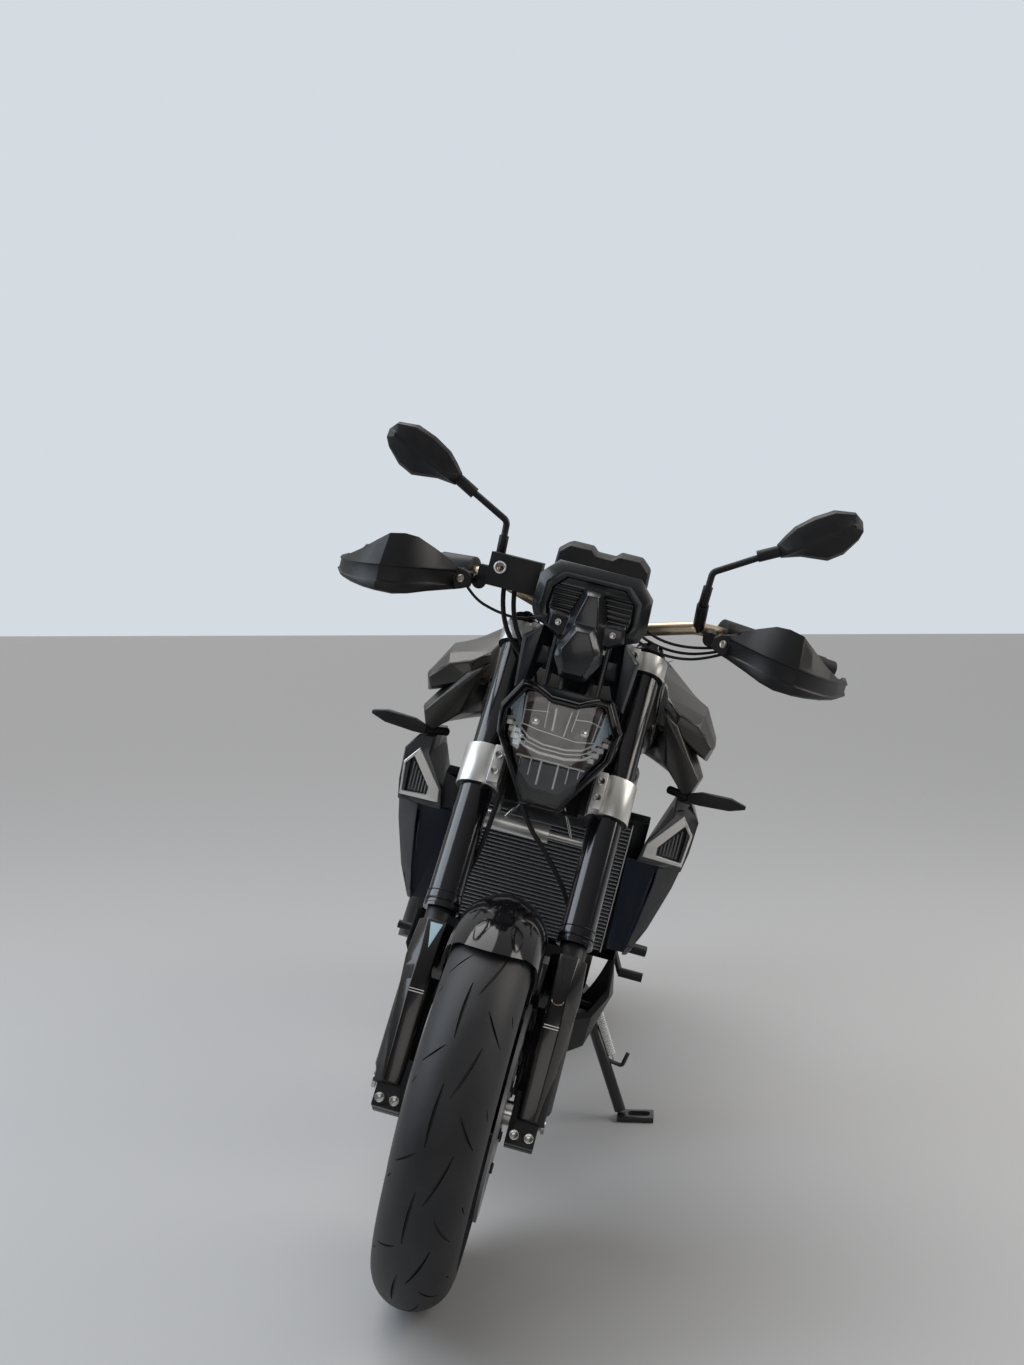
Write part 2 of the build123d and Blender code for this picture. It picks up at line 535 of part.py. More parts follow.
# Frame
CRANK_X, HEAD_X = 96.0, 93.0
head_low, head_high = LOWER_CLAMP[1] + 5, UPPER_CLAMP[0] - 5
head_tube = on_steering(rod((0, 0, head_low), (0, 0, head_high), 30.0))
frame = head_tube
PLATE_X = (78.0, 94.0)
for side in (-1, 1):
    frame += pipe([(side * 14, 372, 838), (side * 60, 436, 824), (side * 124, 570, 752),
                   (side * 124, 820, 640), (side * 88, 925, 520)], 36, 19.0)
    frame += pipe([(side * 14, 350, 790), (side * 50, 400, 760), (side * 124, 560, 640), (side * 124, 640, 690)],
                  24, 14.0)
    frame += slab(side * PLATE_X[0], side * PLATE_X[1], 905, 985, 330, 560)
    frame += rod((side * HEAD_X, 600, 660), (side * 128, 600, 660), 14.0)
    frame += rod((side * CRANK_X, 868, 500), (side * 104, 868, 500), 12.0)
    frame += slab(side * CRANK_X, side * 104, 855, 930, 485, 515)
    frame += rod((side * 88, 482, 700), at_radiator(side * 88, RAD_T - 8, rad_len + 4), 8.0)
frame += rod((-90, 930, 545), (90, 930, 545), 15.0)
for x in (-22, 12):
    frame += slab(x, x + 10, 930, 1004, 532, 574)
frame += rod((-22, 990, 556), (22, 990, 556), 6.0)
frame += rod((-126, PIVOT_Y, PIVOT_Z), (126, PIVOT_Y, PIVOT_Z), 11.0)
frame -= on_steering(rod((0, 0, 700), (0, 0, 1200), STEM_R + RUN_FIT))

# Side stand bracket: two cheeks and a pin on the slanted pivot
PIVOT = Vector(150, 800, 266)
STAND_PIN_R, BOSS_R, BOSS_HALF = 6.0, 17.0, 9.0
lean_sin, lean_cos = math.sin(math.radians(LEAN)), math.cos(math.radians(LEAN))


def seats_of(crown, radius):
    return (radius - crown) * lean_cos + crown - radius * lean_cos


front_lift = seats_of(FRONT_CROWN_R, FRONT_TYRE_R)
rear_lift = seats_of(REAR_CROWN_R, REAR_TYRE_R)
pitch = math.degrees(math.asin((rear_lift - front_lift) / WHEELBASE))
to_park = Pos(0, 0, front_lift) * Rot(X=pitch) * Rot(Y=LEAN)
to_upright = to_park.inverse()


def ground_point(x, y, lift):
    # The upright place of the point that stands lift above the ground once the machine leans.
    spot = (to_park * Pos(x, y, 0)).position
    return (to_upright * Pos(spot.X, spot.Y, lift)).position


ankle = ground_point(292, 757, 14)
down = (ankle - PIVOT).normalized()
folded = Vector(0.2, 0.975, 0.09).normalized()
STAND_AXIS = down.cross(folded).normalized()
inward = ((down + folded) * -1).normalized()
KNUCKLE = Plane(origin=PIVOT, x_dir=inward, z_dir=STAND_AXIS)
bracket = slab(24, 46, -15, 15, -16, 16)
for side in (-1, 1):
    bracket += slab(-12, 30, -15, 15, side * (BOSS_HALF + 0.5), side * 16)
bracket += rod((0, 0, -20), (0, 0, 20), STAND_PIN_R)
frame += slab(CRANK_X, 130, 700, 905, 262, 282) + slab(CRANK_X, 130, 740, 790, 262, 304)
frame += KNUCKLE * bracket
parts["main_frame"] = frame

subframe = []
for side in (-1, 1):
    subframe.append(pipe([(side * 112, 830, 640), (side * 90, 1010, 768), (side * 52, 1470, 842)], 60, 12.0))
    subframe.append(pipe([(side * 86, 940, 540), (side * 92, 1040, 640), (side * 60, 1320, 812)], 60, 10.0))
sub = join(*subframe, rod((-88, 1010, 768), (88, 1010, 768), 10), rod((-56, 1400, 831), (56, 1400, 831), 10))
parts["rear_subframe"] = sub - frame

# Engine: crankcase block, leaning cylinders with a head, round covers
crank = prism_x([(560, 320), (590, 258), (880, 258), (898, 330), (898, 480), (850, 545), (700, 545), (590, 470)],
                -CRANK_X, CRANK_X)
crank += prism_x([(620, 258), (640, 214), (820, 214), (850, 258)], 22, 82)
crank += rod((CRANK_X, FRONT_SPROCKET_Y, FRONT_SPROCKET_Z), (CHAIN_X + 3, FRONT_SPROCKET_Y, FRONT_SPROCKET_Z),
             FRONT_SPROCKET_R - 6.5)
parts["crankcase"] = crank - rod((-100, 868, 500), (100, 868, 500), 5)
block = prism_x([(590, 470), (700, 545), (664, 640), (560, 592)], -92, 92)
parts["cylinders"] = block + prism_x([(560, 592), (664, 640), (640, 716), (600, 736), (520, 690)], -HEAD_X, HEAD_X)
covers = rod((CRANK_X, 660, 372), (132, 660, 372), 78) + rod((132, 660, 372), (142, 660, 372), 52)
covers += prism_x([(812, 380), (898, 372), (905, 470), (850, 500), (800, 470)], 122, 134)
covers += prism_x([(796, 380), (812, 380), (812, 470), (796, 470)], CRANK_X, 134)
right = rod((-CRANK_X, 772, 396), (-138, 772, 396), 92) + rod((-138, 772, 396), (-149, 772, 396), 66)
right += rod((-CRANK_X, 640, 360), (-126, 640, 360), 56)
parts["engine_covers"] = Compound(children=[covers, right])

# Radiator: two side tanks, a core and its fins
FIN_PITCH, FIN_T = 10.0, 2.5
core = slab(-RAD_CORE_X, RAD_CORE_X, 8, RAD_T - 4, 0, rad_len)
for side in (-1, 1):
    core += slab(side * RAD_CORE_X, side * RAD_X, 0, RAD_T, -4, rad_len + 4)
core += slab(-RAD_X, RAD_X, 0, RAD_T, rad_len, rad_len + 10) + slab(-RAD_X, RAD_X, 0, RAD_T, -10, 0)
for number in range(1, int(rad_len / FIN_PITCH)):
    core += slab(-RAD_CORE_X, RAD_CORE_X, 2, 8, number * FIN_PITCH, number * FIN_PITCH + FIN_T)
radiator = RAD * core
for side in (-1, 1):
    radiator += rod((side * 84, 592, 455), at_radiator(side * 84, RAD_T - 6, 10), 8.0)
parts["radiator"] = radiator - parts["main_frame"] - parts["crankcase"]
SHROUD_FIN = [  # z, then across and back: plate, recess corner, fin edge, fin side, rear, inner rear
    (464, [(160, 444), (188, 444), (188, 426), (196, 434), (198, 560), (172, 590)]),
    (520, [(158, 432), (198, 432), (198, 412), (219, 424), (216, 590), (176, 620)]),
    (600, [(156, 416), (208, 416), (208, 398), (241, 414), (240, 620), (196, 650)]),
    (634, [(156, 409), (212, 409), (210, 392), (247, 408), (247, 630), (200, 660)]),
]
SHROUD_WING = [  # z, then across and back
    (634, [(172, 396), (248, 400), (250, 630), (190, 660)]),
    (668, [(178, 396), (254, 402), (254, 626), (200, 656)]),
    (722, [(214, 402), (257, 406), (252, 600), (216, 630)]),
    (750, [(212, 412), (238, 412), (238, 560), (214, 590)]),
]
SHROUD_VENT, VENT_FLOOR = [(187, 650), (240, 648), (242, 706), (230, 712), (196, 672)], 418
shrouds, indicators = [], []
for name, side in (("left", 1), ("right", -1)):
    fin = hull_z([(z, [(side * x, y) for x, y in ring]) for z, ring in SHROUD_FIN])
    wing = hull_z([(z, [(side * x, y) for x, y in ring]) for z, ring in SHROUD_WING])
    vent = hull_y([(y, [(side * x, z) for x, z in SHROUD_VENT]) for y in (380, VENT_FLOOR)])
    facet = hull_z([(470, [(side * 186, 446), (side * 203, 446), (side * 194, 434)]),
                    (620, [(side * 204, 412), (side * 208, 412), (side * 206, 402)])])
    shrouds.append(join(fin, wing, facet) - vent - parts["radiator"])
    root, tip = Vector(side * 226, 408, 760), Vector(side * 325, 404, 766)
    lamp = hull_x([(side * 228, [(400, 752), (414, 752), (414, 766), (400, 766)]),
                   (side * 250, [(398, 752), (416, 752), (416, 774), (398, 774)]),
                   (side * 300, [(396, 756), (418, 756), (418, 776), (396, 776)]),
                   (side * 326, [(402, 764), (412, 764), (412, 770), (402, 770)])])
    lamp += rod((side * 196, 440, 760), (side * 230, 407, 760), 7)
    indicators.append(lamp)
parts["radiator_shrouds"] = Compound(children=shrouds)

# Belly spoiler under the front of the engine
spoiler = hull_y([(520, mirrored([(116, 296), (166, 316), (188, 360), (182, 432)])),
                  (600, mirrored([(104, 190), (166, 236), (196, 346), (180, 424)])),
                  (770, mirrored([(90, 168), (130, 204), (142, 262), (136, 292)]))])
spoiler -= hull_y([(500, mirrored([(110, 332), (158, 346), (180, 380), (172, 480)])),
                   (600, mirrored([(98, 198), (158, 242), (188, 348), (172, 480)])),
                   (790, mirrored([(84, 172), (122, 206), (134, 264), (128, 400)]))])
for side in (-1, 1):
    spoiler += rod((side * CRANK_X, 640, 300), (side * 170, 640, 300), 8)
parts["belly_spoiler"] = spoiler - parts["engine_covers"]

# Exhaust: two header pipes, a collector under the engine and a low silencer on the right
HEADER_R = 19.0
behind = RAD_T + HEADER_R
headers = []
for x in (-45, 45):
    headers.append(pipe([(x, 560, 650), at_radiator(x, behind + 25, 124), at_radiator(x - 6, behind + 1, -65),
                         (x - 20, 576, 264), (x * 0.5 - 30, 670, 227)], 30, HEADER_R))
headers = join(*headers, slab(-74, 14, 640, 845, 204, 250))
parts["exhaust_headers"] = headers - parts["cylinders"] - parts["crankcase"]
silencer = hull_y([(1000, [(-246, 240), (-170, 240), (-166, 320), (-240, 330)]),
                   (1030, [(-262, 226), (-164, 226), (-160, 336), (-254, 346)]),
                   (1340, [(-272, 330), (-166, 330), (-162, 430), (-264, 440)]),
                   (1370, [(-262, 348), (-176, 348), (-172, 424), (-256, 432)])])
silencer += pipe([(-40, 845, 228), (-60, 890, 226), (-150, 960, 250), (-204, 1020, 280)], 30, 22)
parts["silencer"] = silencer - headers

# Fuel tank and its side panels, cut back where the fork turns
TANK = [  # y, low z, mid z, high z, low half width, mid half width, high half width
    (420, 790, 850, 900, 60, 130, 60), (500, 762, 872, 952, 96, 186, 96),
    (590, 752, 880, 976, 112, 204, 104), (700, 762, 862, 944, 104, 172, 86),
    (808, 796, 834, 868, 70, 104, 56),
]
tank = hull_y([(y, mirrored([(wl, zl), (wm, zm), (wh * 1.35, zh - 12), (wh * 0.6, zh)]))
               for y, zl, zm, zh, wl, wm, wh in TANK])
SWING_CLEAR_R, SWING_CLEAR_BACK = 158.0, 64.0
swing = rod((0, 0, 600), (0, 0, 1300), SWING_CLEAR_R) & slab(-200, 200, -200, SWING_CLEAR_BACK, 600, 1300)
swing = on_steering(swing)
parts["fuel_tank"] = tank - swing - parts["main_frame"]
TANK_WING = [  # y, then across and up: inner low, tip, brim, shoulder, inner high
    (402, [(176, 866), (238, 830), (246, 850), (216, 880), (182, 892)]),
    (440, [(150, 860), (246, 822), (254, 852), (224, 896), (152, 914)]),
    (510, [(110, 858), (248, 820), (256, 856), (228, 906), (136, 944)]),
    (600, [(110, 850), (230, 822), (240, 858), (210, 908), (142, 960)]),
    (700, [(90, 838), (172, 808), (186, 838), (168, 880), (112, 930)]),
]
TANK_FLAP = [  # y, then across and up: inner high, outer high, tip, foot, inner
    (392, [(158, 886), (180, 874), (238, 792), (222, 754), (184, 800)]),
    (436, [(150, 896), (198, 872), (247, 796), (232, 750), (176, 800)]),
    (560, [(130, 890), (196, 872), (238, 806), (224, 756), (168, 790)]),
    (690, [(110, 850), (150, 846), (184, 806), (172, 768), (116, 784)]),
]
FLAP_FALL = 0.55
panels = []
for name, side in (("left", 1), ("right", -1)):
    wing = hull_y([(y, [(side * x, z) for x, z in ring]) for y, ring in TANK_WING])
    flap = hull_y([(y, [(side * x, z) for x, z in ring]) for y, ring in TANK_FLAP])
    # The front of the flap folds along the line from its tip to its inner end, and falls back on both sides of it
    tip, inner = Vector(side * 238, 392, 792), Vector(side * 158, 392, 886)
    run = (inner - tip).normalized()
    across = Vector(-run.Z, 0, run.X)
    for turn in (-1, 1):
        faced = (Vector(0, -1, 0) + across * turn * FLAP_FALL).normalized()
        flap -= Plane(origin=tip, x_dir=run, z_dir=faced) * slab(-150, 250, -200, 200, 0, 60)
    wing = wing - swing - parts["fuel_tank"] - parts["main_frame"]
    panels += [wing, flap - swing - parts["fuel_tank"] - parts["main_frame"] - wing]
parts["tank_panels"] = Compound(children=panels)

# Seats and tail
seat = hull_y([(780, mirrored([(60, 770), (92, 782), (88, 822), (50, 842)])),
               (900, mirrored([(80, 768), (128, 782), (128, 806), (92, 822)])),
               (1060, mirrored([(80, 780), (146, 794), (142, 818), (90, 830)])),
               (1140, mirrored([(80, 800), (128, 812), (118, 868), (76, 886)]))])
parts["rider_seat"] = seat - parts["fuel_tank"] - parts["rear_subframe"] - parts["tank_panels"] - parts["main_frame"]
pad = hull_y([(1140, mirrored([(70, 842), (112, 850), (104, 886), (60, 898)])),
              (1300, mirrored([(60, 858), (104, 868), (96, 904), (54, 914)])),
              (1430, mirrored([(40, 876), (66, 884), (58, 908), (34, 914)]))])
parts["passenger_seat"] = pad
tail = hull_y([(1080, mirrored([(60, 760), (128, 780), (140, 812), (120, 826)])),
               (1300, mirrored([(50, 800), (98, 818), (110, 858), (90, 872)])),
               (1500, mirrored([(30, 842), (60, 852), (66, 884), (50, 894)])),
               (1560, mirrored([(24, 858), (40, 862), (44, 882), (34, 890)]))])
parts["tail_cover"] = tail - parts["rider_seat"] - parts["passenger_seat"] - parts["rear_subframe"]
parts["tail_lamp"] = hull_y([(1560, mirrored([(24, 858), (40, 862), (44, 882), (34, 890)])),
                             (1584, mirrored([(20, 862), (34, 866), (36, 878), (28, 884)]))])
holder = prism_x([(1430, 850), (1520, 850), (1690, 726), (1716, 706), (1700, 690), (1640, 716), (1500, 806)], -26, 26)
holder += prism_x([(1704, 716), (1710, 718), (1764, 548), (1758, 546)], -92, 92)
parts["plate_holder"] = holder - parts["tail_cover"] - parts["passenger_seat"] - parts["rear_subframe"]
for name, side in (("left", 1), ("right", -1)):
    lamp = hull_x([(side * 60, [(1650, 718), (1664, 718), (1664, 732), (1650, 732)]),
                   (side * 82, [(1648, 714), (1666, 714), (1666, 736), (1648, 736)]),
                   (side * 130, [(1650, 718), (1664, 718), (1664, 734), (1650, 734)]),
                   (side * 150, [(1654, 724), (1660, 724), (1660, 728), (1654, 728)])])
    lamp += rod((side * 26, 1657, 726), (side * 62, 1657, 726), 6)
    indicators.append(lamp)
parts["indicators"] = Compound(children=indicators) - parts["tank_panels"] - parts["radiator_shrouds"]

# Swinging arm, its spindle and the rear axle
SPOOL_R, SPOOL_DEPTH, SPOOL_Y, SPOOL_Z = 4.0, 20.0, 1440.0, 324.0
arm_sides = []
for side in (-1, 1):
    arm_sides.append(hull_y([(912, [(side * 30, 374), (side * 76, 374), (side * 76, 426), (side * 30, 426)]),
                             (990, [(side * 50, 354), (side * 82, 354), (side * 82, 424), (side * 50, 424)]),
                             (1190, [(side * 124, 334), (side * 150, 334), (side * 150, 404), (side * 124, 404)]),
                             (1490, [(side * 124, 288), (side * 150, 288), (side * 150, 344), (side * 124, 344)]),
                             (1560, [(side * 124, 296), (side * 150, 296), (side * 150, 336), (side * 124, 336)])]))
swingarm = join(*arm_sides, slab(-76, 76, 918, 985, 376, 424))
for x in (-24, 14):
    swingarm += slab(x, x + 10, 980, 1062, 376, 404)
swingarm += rod((-24, 1050, 390), (24, 1050, 390), 6)
rear_axle = rod((-156, 0, 0), (156, 0, 0), AXLE_R)
rear_axle += rod((REAR_DISC_X - 5, 0, 0), (-124, 0, 0), 19.0) + rod((CHAIN_X + 5, 0, 0), (124, 0, 0), 19.0)
for side in (-1, 1):
    rear_axle += rod((side * 150, 0, 0), (side * 160, 0, 0), 18.0)
parts["rear_axle"] = at_rear_axle(rear_axle)
swingarm -= at_rear_axle(rod((-170, 0, 0), (170, 0, 0), AXLE_R))
swingarm -= rod((-130, PIVOT_Y, PIVOT_Z), (130, PIVOT_Y, PIVOT_Z), 11.0)
swingarm -= slab(-PLATE_X[1], -PLATE_X[0], 900, 986, 300, 560) + slab(*PLATE_X, 900, 986, 300, 560)
for side in (-1, 1):
    swingarm -= rod((side * (150 - SPOOL_DEPTH), SPOOL_Y, SPOOL_Z), (side * 151, SPOOL_Y, SPOOL_Z), SPOOL_R)
parts["swingarm"] = swingarm
shock = rod((0, 1050, 390), (0, 990, 556), 12) + rod((0, 1036, 428), (0, 1004, 518), 30)
shock += rod((0, 1039, 420), (0, 1036, 430), 34) + rod((0, 1006, 512), (0, 1002, 522), 34)
shock -= rod((-30, 1050, 390), (30, 1050, 390), 6) + rod((-30, 990, 556), (30, 990, 556), 6)
parts["rear_shock"] = shock - parts["main_frame"] - swingarm
caliper = Rot(X=40) * (Pos(REAR_DISC_X, 0, 120) * (Box(30, 90, 52) - Pos(0, 0, -13) * Box(DISC_T + 3, 120, 54)))
caliper += prism_x([(-24, -26), (24, -26), (24, 20), (-44, 116), (-104, 74)], -124, -118)
parts["rear_caliper"] = at_rear_axle(caliper - rod((-130, 0, 0), (-100, 0, 0), 19.0))
hugger = wheel_turn([(-98, 300), (-92, 326), (92, 326), (98, 300), (95, 300), (90, 323), (-90, 323), (-95, 300)], 62)
hugger = at_rear_axle(Rot(X=104) * hugger)
for side in (-1, 1):
    hugger += slab(side * 91, side * 96, 1236, 1262, 385, 470) + slab(side * 91, side * 126, 1236, 1262, 385, 404)
parts["rear_hugger"] = hugger - swingarm

# Chain: a closed band of links outside both sprockets
def chain_loop(grow):
    front = Vector(FRONT_SPROCKET_Y, FRONT_SPROCKET_Z)
    rear = Vector(WHEELBASE, REAR_TYRE_R)
    gap = rear - front
    slope = math.atan2(gap.Y, gap.X)
    lean = math.asin((REAR_SPROCKET_R - FRONT_SPROCKET_R) / gap.length)
    rf, rr = FRONT_SPROCKET_R + grow, REAR_SPROCKET_R + grow
    top, low = slope + math.pi / 2 + lean, slope - math.pi / 2 - lean
    spots = []
    for centre, r, start, end in ((front, rf, top, low + 2 * math.pi), (rear, rr, low, top)):
        steps = 10 if centre is front else 28
        for i in range(steps + 1):
            a = start + (end - start) * i / steps
            spots.append((centre.X + r * math.cos(a), centre.Y + r * math.sin(a)))
    return spots


chain = prism_x(chain_loop(6), CHAIN_X - 10, CHAIN_X + 10) - prism_x(chain_loop(-6), CHAIN_X - 11, CHAIN_X + 11)
chain -= prism_x(chain_loop(7), CHAIN_X - 4, CHAIN_X + 4) - prism_x(chain_loop(1), CHAIN_X - 5, CHAIN_X + 5)
chain -= prism_x(chain_loop(-5), CHAIN_X - 4, CHAIN_X + 4) - prism_x(chain_loop(-20), CHAIN_X - 5, CHAIN_X + 5)
parts["chain"] = chain

# Foot controls
rests = []
for side in (-1, 1):
    rest = prism_x([(915, 352), (960, 334), (1020, 420), (980, 470), (930, 430)], side * 150, side * 158)
    rest += rod((side * 126, PIVOT_Y, PIVOT_Z), (side * 152, PIVOT_Y, PIVOT_Z), 14)
    rest += rod((side * 157, 944, 352), (side * 250, 950, 350), 11)
    rests.append(rest)
parts["footrests"] = Compound(children=rests)
lever = pipe([(170, 948, 366), (188, 900, 344), (202, 745, 350)], 12, 6) + rod((200, 745, 350), (246, 745, 350), 9)
pedal = pipe([(-170, 948, 366), (-188, 900, 338), (-198, 760, 322)], 12, 7)
pedal += rod((-196, 760, 322), (-236, 762, 324), 8)
lever += rod((158, 948, 372), (176, 948, 372), 10)
pedal += rod((-158, 948, 372), (-176, 948, 372), 10)
parts["foot_levers"] = Compound(children=[lever - parts["footrests"], pedal - parts["footrests"]])

# Side stand: a leg on a slanted pivot, a foot flat on the ground and a spring hook
foot_mid = ground_point(322, 757, 5)
foot = to_upright * (Pos((to_park * Pos(foot_mid.X, foot_mid.Y, foot_mid.Z)).position) * Box(70, 46, 10))
leg_bar = rod(tuple(PIVOT), tuple(ankle), 11.0)
boss = KNUCKLE * (rod((0, 0, -BOSS_HALF), (0, 0, BOSS_HALF), BOSS_R) + rod((0, 0, -1), (0, 0, 1), BOSS_R))
leg_bar -= KNUCKLE * (slab(-40, 40, -60, 60, BOSS_HALF, 40) + slab(-40, 40, -60, 60, -40, -BOSS_HALF))
hook = pipe([tuple(PIVOT + down * 120), tuple(PIVOT + down * 128 + Vector(34, 0, 2)),
             tuple(PIVOT + down * 116 + Vector(46, 0, 20))], 6, 4)
stand = join(leg_bar, boss, foot, hook)
parts["side_stand"] = stand - KNUCKLE * rod((0, 0, -30), (0, 0, 30), STAND_PIN_R + RUN_FIT)

# Each of these is cut to the face of what carries it
SEATS = [  # piece, carriers
    ("front_tyre", ["front_rim"]), ("rear_tyre", ["rear_rim"]),
    ("front_calipers", ["fork_bottoms"]),
    ("front_mudguard", ["fork_bottoms", "fork_covers", "fork_outer_tubes"]),
    ("brake_hoses", ["controls_right", "front_calipers"]),
    ("hand_guards", ["grips", "mirror_left", "mirror_right"]),
]
for name, carriers in SEATS:
    for carrier in carriers:
        parts[name] = parts[name] - parts[carrier]

# Set it down leaning, with the middle of its footprint on the origin
placed = {name: to_park * solid for name, solid in parts.items()}
whole = Compound(children=list(placed.values())).bounding_box()
shift = Pos(-(whole.min.X + whole.max.X) / 2, -(whole.min.Y + whole.max.Y) / 2, 0)
PLACE = shift * to_park


def main():
    for name, solid in parts.items():
        export_step(PLACE * solid, os.path.join("parts", name + ".step"))


if __name__ == "__main__":
    main()
    size = whole.size
    print("pieces", len(parts), "size", round(size.X, 1), round(size.Y, 1), round(size.Z, 1))
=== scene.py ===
# %% [markdown]
# # A naked roadster on its side stand
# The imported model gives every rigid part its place. This lesson dresses it: finishes first, then the pieces
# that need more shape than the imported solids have, and at the end the floor, the light and the camera.

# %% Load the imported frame
import bpy, math, json
from mathutils import Matrix, Vector

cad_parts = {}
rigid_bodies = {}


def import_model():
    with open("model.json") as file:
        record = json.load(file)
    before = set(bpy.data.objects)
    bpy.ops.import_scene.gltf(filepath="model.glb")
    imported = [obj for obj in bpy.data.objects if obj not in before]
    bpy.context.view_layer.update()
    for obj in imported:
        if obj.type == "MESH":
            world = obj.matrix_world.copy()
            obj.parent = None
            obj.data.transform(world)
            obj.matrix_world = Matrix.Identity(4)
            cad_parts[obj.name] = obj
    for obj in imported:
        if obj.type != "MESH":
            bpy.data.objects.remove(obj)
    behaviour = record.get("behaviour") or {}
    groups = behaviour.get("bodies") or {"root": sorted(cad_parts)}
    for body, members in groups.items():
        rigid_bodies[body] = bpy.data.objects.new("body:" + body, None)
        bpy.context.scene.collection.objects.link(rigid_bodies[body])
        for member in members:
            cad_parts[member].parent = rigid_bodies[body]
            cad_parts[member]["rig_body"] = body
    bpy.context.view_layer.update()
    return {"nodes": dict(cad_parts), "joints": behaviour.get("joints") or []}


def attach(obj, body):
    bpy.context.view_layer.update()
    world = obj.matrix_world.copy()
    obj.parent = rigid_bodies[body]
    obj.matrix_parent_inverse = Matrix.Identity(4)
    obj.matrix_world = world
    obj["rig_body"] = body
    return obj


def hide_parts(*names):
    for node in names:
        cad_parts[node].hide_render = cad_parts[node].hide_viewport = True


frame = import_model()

nodes = frame["nodes"]

# %% [markdown]
# The machine leans on its stand, which makes it awkward to model on. The two wheel joints tell where it is:
# their axles give the direction across, and the line between the hubs gives the direction along. From them comes
# one matrix, PARK, that takes a point of the upright machine to its parked place. A second one, STEER, does the same
# for things drawn square to the raked steering axis. In both, the modelling is in millimetres.

# %% Where the leaning machine is
joints = {j["name"]: j for j in frame["joints"]}
WHEELBASE, FRONT_R, REAR_R, RAKE, TRAIL = 1.518, 0.300, 0.315, math.radians(29.5), 0.1143
across = Vector(joints["front_wheel_spin"]["axis"]).normalized()
front_hub = Vector(joints["front_wheel_spin"]["pos_m"])
rear_hub = Vector(joints["rear_wheel_spin"]["pos_m"])
run, rise = rear_hub - front_hub, REAR_R - FRONT_R
back = ((WHEELBASE * run - rise * across.cross(run)) / (WHEELBASE ** 2 + rise ** 2)).normalized()
up = across.cross(back).normalized()
turn = Matrix((across, back, up)).transposed().to_4x4()
PARK = Matrix.Translation(front_hub - up * FRONT_R) @ turn
STEER = PARK @ Matrix.Translation((0, -TRAIL, 0)) @ Matrix.Rotation(-RAKE, 4, "X")
MM = Matrix.Scale(0.001, 4)
UPRIGHT, FORK = PARK @ MM, STEER @ MM
print("lean", round(math.degrees(math.asin(up.x)), 2), "degrees")

# %% [markdown]
# ## Finishes
# Every finish is one Principled shader with noise in it. Real plastic has a moulded grain, paint has flakes and a
# faint unevenness, bare alloy has fine brushing and rubber is mottled. One helper builds them all: two close tones
# mixed by noise, a roughness that wanders a little, and a bump of the right scale. Sizes are in metres.

# %% A helper for finishes
def finish(name, tone, tone2, metallic=0.0, rough=(0.4, 0.5), grain=400.0, bump=0.1, coat=0.0, stretch=(1, 1, 1),
           cloud=6.0, shine=0.5):
    m = bpy.data.materials.new(name)
    m.use_nodes = True
    t = m.node_tree
    b = t.nodes["Principled BSDF"]
    b.inputs["Metallic"].default_value = metallic
    b.inputs["Coat Weight"].default_value = coat
    b.inputs["Coat Roughness"].default_value = 0.04
    b.inputs["Specular IOR Level"].default_value = shine
    place = t.nodes.new("ShaderNodeTexCoord")
    scale = t.nodes.new("ShaderNodeMapping")
    scale.inputs["Scale"].default_value = stretch
    t.links.new(place.outputs["Object"], scale.inputs["Vector"])
    broad = t.nodes.new("ShaderNodeTexNoise")
    broad.inputs["Scale"].default_value = cloud
    broad.inputs["Detail"].default_value = 6.0
    fine = t.nodes.new("ShaderNodeTexNoise")
    fine.inputs["Scale"].default_value = grain
    fine.inputs["Detail"].default_value = 3.0
    for noise in (broad, fine):
        t.links.new(scale.outputs["Vector"], noise.inputs["Vector"])
    ramp = t.nodes.new("ShaderNodeValToRGB")
    ramp.color_ramp.elements[0].position, ramp.color_ramp.elements[1].position = 0.3, 0.7
    ramp.color_ramp.elements[0].color = (*tone, 1)
    ramp.color_ramp.elements[1].color = (*tone2, 1)
    t.links.new(broad.outputs["Fac"], ramp.inputs["Fac"])
    t.links.new(ramp.outputs["Color"], b.inputs["Base Color"])
    spread = t.nodes.new("ShaderNodeMapRange")
    spread.inputs["To Min"].default_value, spread.inputs["To Max"].default_value = rough
    t.links.new(broad.outputs["Fac"], spread.inputs["Value"])
    t.links.new(spread.outputs["Result"], b.inputs["Roughness"])
    if bump:
        relief = t.nodes.new("ShaderNodeBump")
        relief.inputs["Strength"].default_value = bump
        relief.inputs["Distance"].default_value = 0.0006
        t.links.new(fine.outputs["Fac"], relief.inputs["Height"])
        t.links.new(relief.outputs["Normal"], b.inputs["Normal"])
    return m


# %% Rubber, black plastics and paints
tyre_rubber = finish("tyre_rubber", (0.010, 0.010, 0.012), (0.024, 0.024, 0.026), rough=(0.45, 0.65), grain=900,
                     bump=0.3, cloud=14, shine=0.42)
grip_rubber = finish("grip_rubber", (0.008, 0.008, 0.008), (0.014, 0.014, 0.014), rough=(0.6, 0.75), grain=700,
                     bump=0.3, shine=0.35)
gloss_black = finish("gloss_black", (0.003, 0.003, 0.004), (0.005, 0.005, 0.006), rough=(0.06, 0.12), bump=0.0,
                     coat=0.1, shine=0.28)
tube_black = finish("tube_black", (0.004, 0.004, 0.006), (0.007, 0.007, 0.010), rough=(0.14, 0.2), bump=0.0, coat=0.5)
anodised_black = finish("anodised_black", (0.010, 0.010, 0.011), (0.018, 0.018, 0.02), metallic=0.6, rough=(0.2, 0.3),
                        grain=500, bump=0.02)
